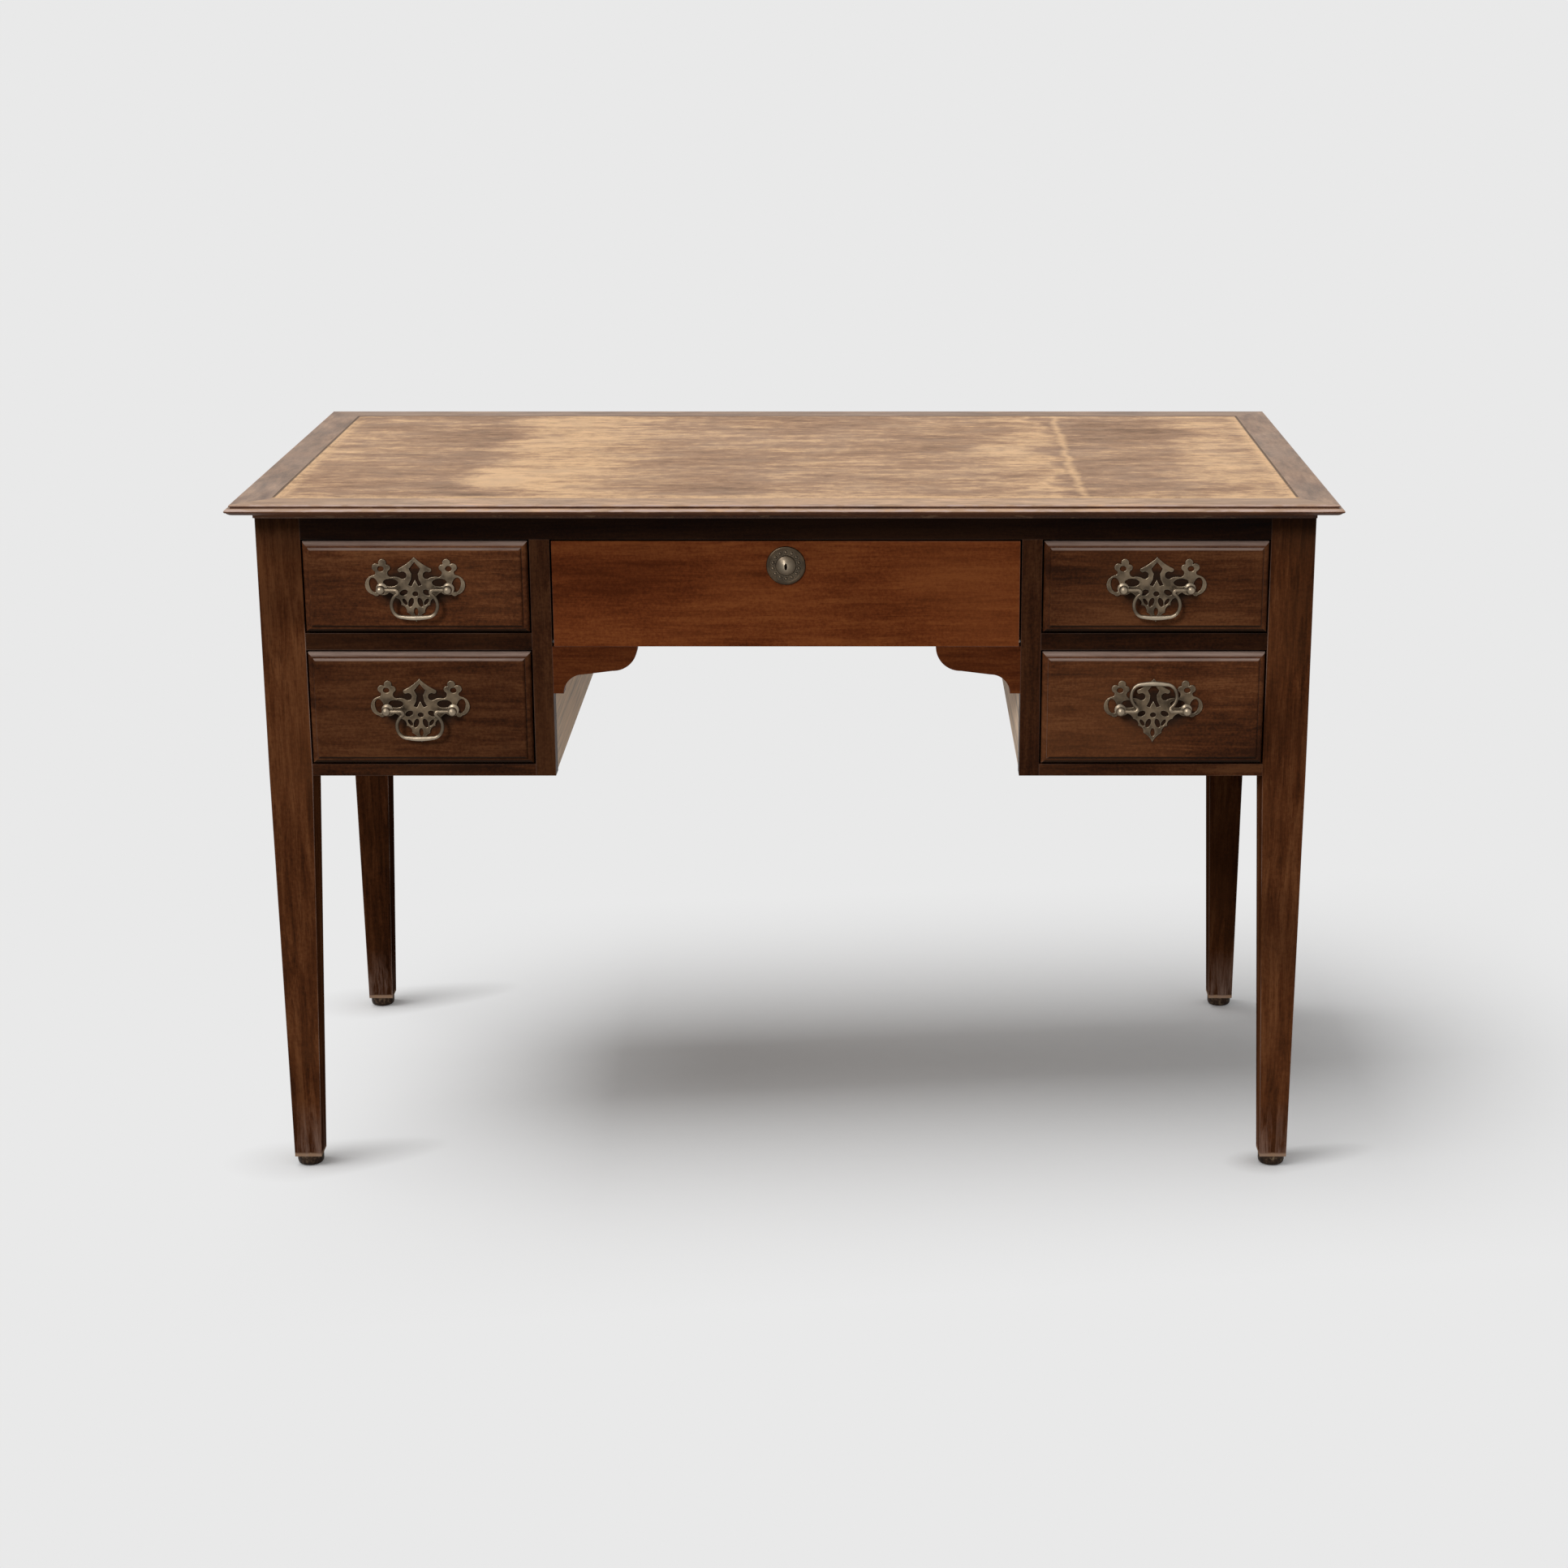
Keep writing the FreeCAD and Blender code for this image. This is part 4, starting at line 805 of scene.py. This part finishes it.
# A post's collar, as radii and distances in front of the plate, and its nut, as radii and distances behind
# the drawer front, in millimetres
SHANK_RADIUS = 2.2
POST_COLLAR = [(2.9, 3.4), (3.1, 2.6), (5.2, 2.0), (6.0, 1.2), (6.0, 0.0)]
NUT_PROFILE = [(SHANK_RADIUS, 0.0), (5.5, 0.0), (5.5, 3.6), (5.0, 4.0), (SHANK_RADIUS, 4.0)]


def ball_head(radius, half, end, step):
    """Profile of a ball, or of a flatter bead, from its front pole round to an angle in degrees."""
    angles = [math.radians(a) for a in range(0, end + 1, step)]
    return [(radius * math.sin(a), -half * math.cos(a)) for a in angles]


class DESK_OT_posts(bpy.types.Operator):
    """Makes the ball-headed posts, with their nuts inside the drawers"""
    bl_idname = "desk.posts"
    bl_label = "Handle posts"

    def execute(self, context):
        brass = context.scene.desk_brass
        metal = aged_brass("post_brass", brass, 0.40, rubbed=0.42)
        for corner in CORNERS:
            node = f"{corner}_handle_posts"
            middle = handle_centre(corner)
            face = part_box(f"{corner}_handle_plate")[0].y
            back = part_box(f"{corner}_drawer_front")[1].y
            ball = brass.ball_radius / MM
            reach = (face - middle.y) / MM
            tip = (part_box(node)[1].y - middle.y) / MM
            nut_start = (back - middle.y) / MM
            neck = [(radius, reach - before) for radius, before in POST_COLLAR]
            neck += [(SHANK_RADIUS, reach), (SHANK_RADIUS, tip), (0, tip)]
            nut = [(radius, nut_start + along) for radius, along in NUT_PROFILE]
            meshes = []
            for sign in (-1, 1):
                place = Vector((middle.x + sign * POST_SPACING / 2 * MM, middle.y, middle.z))
                turn = Matrix.Rotation(-math.pi / 2, 4, "X")
                meshes.append(turned(node + "_post", ball_head(ball, ball, 140, 10) + neck, turn, place))
                meshes.append(turned(node + "_nut", nut, turn, place, sides=6))
            mesh = smooth(merged(node + "_mesh", meshes), 35)
            new_piece(f"{corner}_posts", mesh, metal, f"drawer_{corner}", node)
        return {"FINISHED"}


class DESK_OT_bails(bpy.types.Operator):
    """Makes the bails, one of them tipped up against its plate"""
    bl_idname = "desk.bails"
    bl_label = "Bails"

    def execute(self, context):
        brass = context.scene.desk_brass
        thin, thick = brass.bail_radius / MM, brass.bar_radius / MM
        line = bail_line()
        whole = line + [Vector((-p.x, p.y)) for p in reversed(line[:-1])]
        for corner in CORNERS:
            node = f"{corner}_bail"
            middle = handle_centre(corner)
            lean, drop = (TIPPED_LEAN, BAR_DROP) if corner == TIPPED_UP else (0.0, -BAR_DROP)
            metal = aged_brass(f"bail_brass_{corner}", brass, 0.45, rubbed=0.25,
                               bar=(middle.z, middle.z + drop))
            curve = bpy.data.curves.new(node, "CURVE")
            curve.dimensions = "3D"
            curve.bevel_depth = 1.0
            curve.bevel_resolution = 5
            curve.use_fill_caps = True
            spline = curve.splines.new("POLY")
            spline.points.add(len(whole) - 1)
            for point, place in zip(spline.points, whole):
                point.co = (place.x, 0, place.y, 1)
                on_bar = max(0.0, 1.0 - abs(place.x) / BAR_HALF) if place.y < BAR_TOP else 0.0
                from_knuckle = Vector((abs(place.x), place.y)) - KNUCKLE
                knuckle = math.exp(-(from_knuckle.length / KNUCKLE_REACH) ** 2)
                point.radius = thin + (thick - thin) * on_bar ** 0.7 + KNUCKLE_SWELL * knuckle
            mesh = curve_mesh(curve)
            set_down(mesh, middle, Matrix.Rotation(lean, 4, "X"))
            new_piece(f"{corner}_loop", smooth(mesh, 50), metal, f"bail_{corner}", node)
        return {"FINISHED"}


# The rosette as radii and heights, its ring of beads and its keyhole, in millimetres
ROSETTE_PROFILE = [
    (0.0, 0.0), (20.6, 0.0), (20.9, 0.7), (20.4, 1.8), (19.2, 2.3), (17.9, 1.9), (16.4, 1.5), (11.4, 1.4),
    (10.8, 2.2), (9.8, 2.9), (8.0, 3.5), (5.6, 4.4), (3.4, 5.6), (2.4, 6.2), (0.0, 6.35)]
BEADS = 14
BEAD_RING = 14.2
BEAD_RADIUS = 2.3
BEAD_RISE = 1.7
KEYHOLE = ((0, -0.4), (1.6, 3.9), 0)
KEYHOLE_CUT = 20.0


class DESK_OT_rosette(bpy.types.Operator):
    """Makes the round keyhole rosette"""
    bl_idname = "desk.rosette"
    bl_label = "Keyhole rosette"

    def execute(self, context):
        low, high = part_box("keyhole_rosette")
        middle = Vector(((low.x + high.x) / 2, high.y, (low.z + high.z) / 2))
        metal = aged_brass("rosette_brass", context.scene.desk_brass, 0.85,
                           hollow=(middle.y - 6.2 * MM, middle.y - 2.2 * MM))
        meshes = [turned("rosette_disc", ROSETTE_PROFILE, UPRIGHT, middle, sides=72)]
        bead = ball_head(BEAD_RADIUS, BEAD_RISE, 180, 20)
        bead[-1] = (0.0, BEAD_RISE)
        ring = BEAD_RING * MM
        for k in range(BEADS):
            angle = 2 * math.pi * (k + 0.5) / BEADS
            place = middle + Vector((ring * math.cos(angle), -1.2 * MM, ring * math.sin(angle)))
            meshes.append(turned("rosette_bead", bead, UPRIGHT, place, sides=14))
        slot = fretted("keyhole_slot", [oval(*KEYHOLE)], KEYHOLE_CUT, 0.0)
        set_down(slot, middle + Vector((0, KEYHOLE_CUT / 2 * MM, 0)), UPRIGHT)
        mesh = smooth(pierced(merged("rosette_mesh", meshes), slot), 50)
        new_piece("rosette", mesh, metal, "drawer_middle", "keyhole_rosette")
        return {"FINISHED"}


# Faces of the hide across and front to back, and half the depth of its waves
HIDE_GRID = (96, 48)
HIDE_WAVE = 0.12 * MM


class DESK_OT_hide(bpy.types.Operator):
    """Lays the writing hide in the top"""
    bl_idname = "desk.hide"
    bl_label = "Writing hide"

    def execute(self, context):
        hide = context.scene.desk_hide
        low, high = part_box("writing_hide")
        edges = [0.0, 4 * MM, hide.line_inset - 1.2 * MM, hide.line_inset, hide.line_inset + 1.2 * MM,
                 hide.line_inset + 4 * MM]

        def stations(start, end, count):
            inner = [start + edges[-1] + (end - start - 2 * edges[-1]) * k / count for k in range(1, count)]
            return [start + e for e in edges] + inner + [end - e for e in reversed(edges)]

        xs, ys = stations(low.x, high.x, HIDE_GRID[0]), stations(low.y, high.y, HIDE_GRID[1])
        work = bmesh.new()
        grid = []
        for x in xs:
            row = []
            for y in ys:
                inward = min(x - low.x, high.x - x, y - low.y, high.y - y)
                groove = hide.line_depth if abs(inward - hide.line_inset) < 0.1 * MM else 0.0
                wave = HIDE_WAVE * (1 + math.sin(23 * x + 9 * y) * math.cos(31 * y - 7 * x))
                row.append(work.verts.new((x, y, high.z - groove - wave)))
            grid.append(row)
        for i in range(len(xs) - 1):
            for j in range(len(ys) - 1):
                work.faces.new((grid[i][j], grid[i + 1][j], grid[i + 1][j + 1], grid[i][j + 1]))
        rim = [row[0] for row in grid] + grid[-1][1:-1]
        rim += [row[-1] for row in reversed(grid)] + grid[0][-2:0:-1]
        under = [work.verts.new((vertex.co.x, vertex.co.y, low.z)) for vertex in rim]
        for k in range(len(rim)):
            work.faces.new((under[k - 1], under[k], rim[k], rim[k - 1]))
        work.faces.new(list(reversed(under)))
        bmesh.ops.recalc_face_normals(work, faces=work.faces)
        mesh = mesh_of("hide_mesh", work)
        material = worn_hide("worn_hide", hide, low, high)
        piece = new_piece("hide", smooth(mesh, 60), material, "carcase", "writing_hide")
        return {"FINISHED"}


FLOOR_RADIUS = 14.0
# Distances at which the shade under the desk, across and front to back, and that of a foot start to fade
# and are gone
SHADE_ACROSS = (0.45, 0.85)
SHADE_DEEP = (0.07, 0.66)
FOOT_SHADE = (0.02, 0.10)
# Ways to the two lamps, and how wide they look in degrees
OVERHEAD_LAMP = ((-0.40, -0.10, 1.0), 50)
FRONT_LAMP = ((-0.62, -1.15, 0.80), 14)


class DESK_OT_stage(bpy.types.Operator):
    """Sets the camera, the lamps and the floor"""
    bl_idname = "desk.stage"
    bl_label = "Stage"

    def execute(self, context):
        stage = context.scene.desk_stage
        scene = context.scene
        scene.view_settings.view_transform = "Standard"
        camera = bpy.data.cameras.new("camera")
        camera.sensor_fit = "HORIZONTAL"
        camera.sensor_width = 36.0
        camera.lens = stage.focal_pixels / PHOTO_PIXELS * camera.sensor_width
        camera.shift_x = (PHOTO_PIXELS / 2 - stage.centre[0]) / PHOTO_PIXELS
        camera.shift_y = (stage.centre[1] - PHOTO_PIXELS / 2) / PHOTO_PIXELS
        eye = put("camera", camera)
        eye.location = stage.eye
        eye.rotation_euler = (math.pi / 2 - stage.pitch, 0, 0)
        scene.camera = eye
        floor = self.floor(stage)
        self.world(scene, stage)
        self.lamp("overhead", *OVERHEAD_LAMP, stage.overhead, (0, 0, 1))
        front = self.lamp("front", *FRONT_LAMP, stage.front, (0, -1, 0))
        unlit = bpy.data.collections.new("unlit_by_front_lamp")
        unlit.objects.link(floor)
        front.light_linking.receiver_collection = unlit
        unlit.collection_objects[0].light_linking.link_state = "EXCLUDE"
        return {"FINISHED"}

    def lamp(self, name, towards, spread, level, facing):
        """A soft distant lamp that gives a white surface, facing one way, a level of brightness."""
        light = bpy.data.lights.new(name, "SUN")
        direction = Vector(towards).normalized()
        light.angle = math.radians(spread)
        light.energy = level * math.pi / direction.dot(Vector(facing))
        holder = put(name, light)
        holder.rotation_euler = direction.to_track_quat("Z", "Y").to_euler()
        return holder

    def world(self, scene, stage):
        paint = Paint("studio", "worlds")
        light = paint.tree.nodes["Background"]
        paint.join(light.inputs["Color"], (1, 1, 1))
        paint.join(light.inputs["Strength"], stage.fill)
        seen = paint.node("Background", {"Color": stage.background})
        mixed = paint.node("MixShader", {0: paint.seen(), 1: light, 2: seen})
        paint.join(paint.output.inputs["Surface"], mixed)
        scene.world = paint.made

    def floor(self, stage):
        work = bmesh.new()
        bmesh.ops.create_circle(work, cap_ends=True, radius=FLOOR_RADIUS, segments=96)
        mesh = mesh_of("floor_mesh", work)
        floor = put("floor", mesh)
        paint = Paint("pale_floor")
        speck = paint.noise((40, 40, 40))
        seen = paint.seen()
        shade = paint.ramp(speck, [(0.3, dimmed([stage.floor], 0.99)[0]), (0.7, stage.floor)])
        colour = paint.mix(seen, stage.bounce, shade)
        paint.finish(Base_Color=colour, Roughness=1.0, Specular_IOR_Level=0.0)
        here = paint.here()
        aside = paint.less(here["X"], stage.shade_x)
        along = paint.less(here["Y"], stage.shade_y)
        along = paint.sum("ABSOLUTE", paint.added(aside, -stage.shade_turn, along))
        aside = paint.sum("ABSOLUTE", aside)
        kept = paint.times(paint.span(aside, *SHADE_ACROSS, 1.0, 0.0),
                           paint.span(along, *SHADE_DEEP, 1.0, 0.0))
        from_foot = []
        for axis, place in (("X", stage.foot_x), ("Y", stage.foot_y)):
            nearest = paint.times(paint.sum("SIGN", here[axis]), place)
            from_foot.append(paint.less(here[axis], nearest))
        right = paint.sum("MAXIMUM", from_foot[0], 0.0)
        foot_x = paint.sum("MAXIMUM", paint.times(right, 0.40), paint.times(from_foot[0], -1.0))
        foot_y = paint.less(from_foot[1], paint.times(right, 0.35))
        foot = paint.node("CombineXYZ", {"X": foot_x, "Y": paint.times(foot_y, 1.5)})
        away = paint.node("VectorMath", {0: foot}, operation="LENGTH").outputs["Value"]
        kept = paint.sum("MAXIMUM", kept, paint.span(away, *FOOT_SHADE, 0.9, 0.0))
        far = paint.times(paint.less(1.0, kept), seen)
        glow = paint.node("Emission", {"Color": stage.background, "Strength": 1.0})
        mixed = paint.node("MixShader", {0: far, 1: paint.shader, 2: glow})
        paint.join(paint.output.inputs["Surface"], mixed)
        mesh.materials.append(paint.made)
        return floor


class DESK_PT_panel(bpy.types.Panel):
    """Lists the desk's pieces"""
    bl_label = "Kneehole Desk"
    bl_idname = "DESK_PT_panel"
    bl_space_type = "VIEW_3D"
    bl_region_type = "UI"
    bl_category = "Desk"

    def draw(self, context):
        for operator in OPERATORS:
            self.layout.operator(operator.bl_idname)
        for group in GROUPS:
            held = getattr(context.scene, group)
            box = self.layout.box()
            for name in held.bl_rna.properties.keys():
                if name not in ("rna_type", "name"):
                    box.prop(held, name)


GROUPS = {"desk_woods": DeskWoods, "desk_hide": DeskHide, "desk_brass": DeskBrass, "desk_stage": DeskStage}
OPERATORS = (DESK_OT_carcase, DESK_OT_glides, DESK_OT_drawers, DESK_OT_plates, DESK_OT_posts, DESK_OT_bails,
             DESK_OT_rosette, DESK_OT_hide, DESK_OT_stage)


def register():
    for group in (*GROUPS.values(), *OPERATORS, DESK_PT_panel):
        bpy.utils.register_class(group)
    for name, group in GROUPS.items():
        setattr(bpy.types.Scene, name, PointerProperty(type=group))


def unregister():
    for name in GROUPS:
        delattr(bpy.types.Scene, name)
    for group in reversed((*GROUPS.values(), *OPERATORS, DESK_PT_panel)):
        bpy.utils.unregister_class(group)


def main():
    register()
    bpy.ops.desk.carcase()
    bpy.ops.desk.glides()
    bpy.ops.desk.drawers()
    bpy.ops.desk.plates()
    bpy.ops.desk.posts()
    bpy.ops.desk.bails()
    bpy.ops.desk.rosette()
    bpy.ops.desk.hide()
    bpy.ops.desk.stage()


if __name__ == "__main__":
    main()
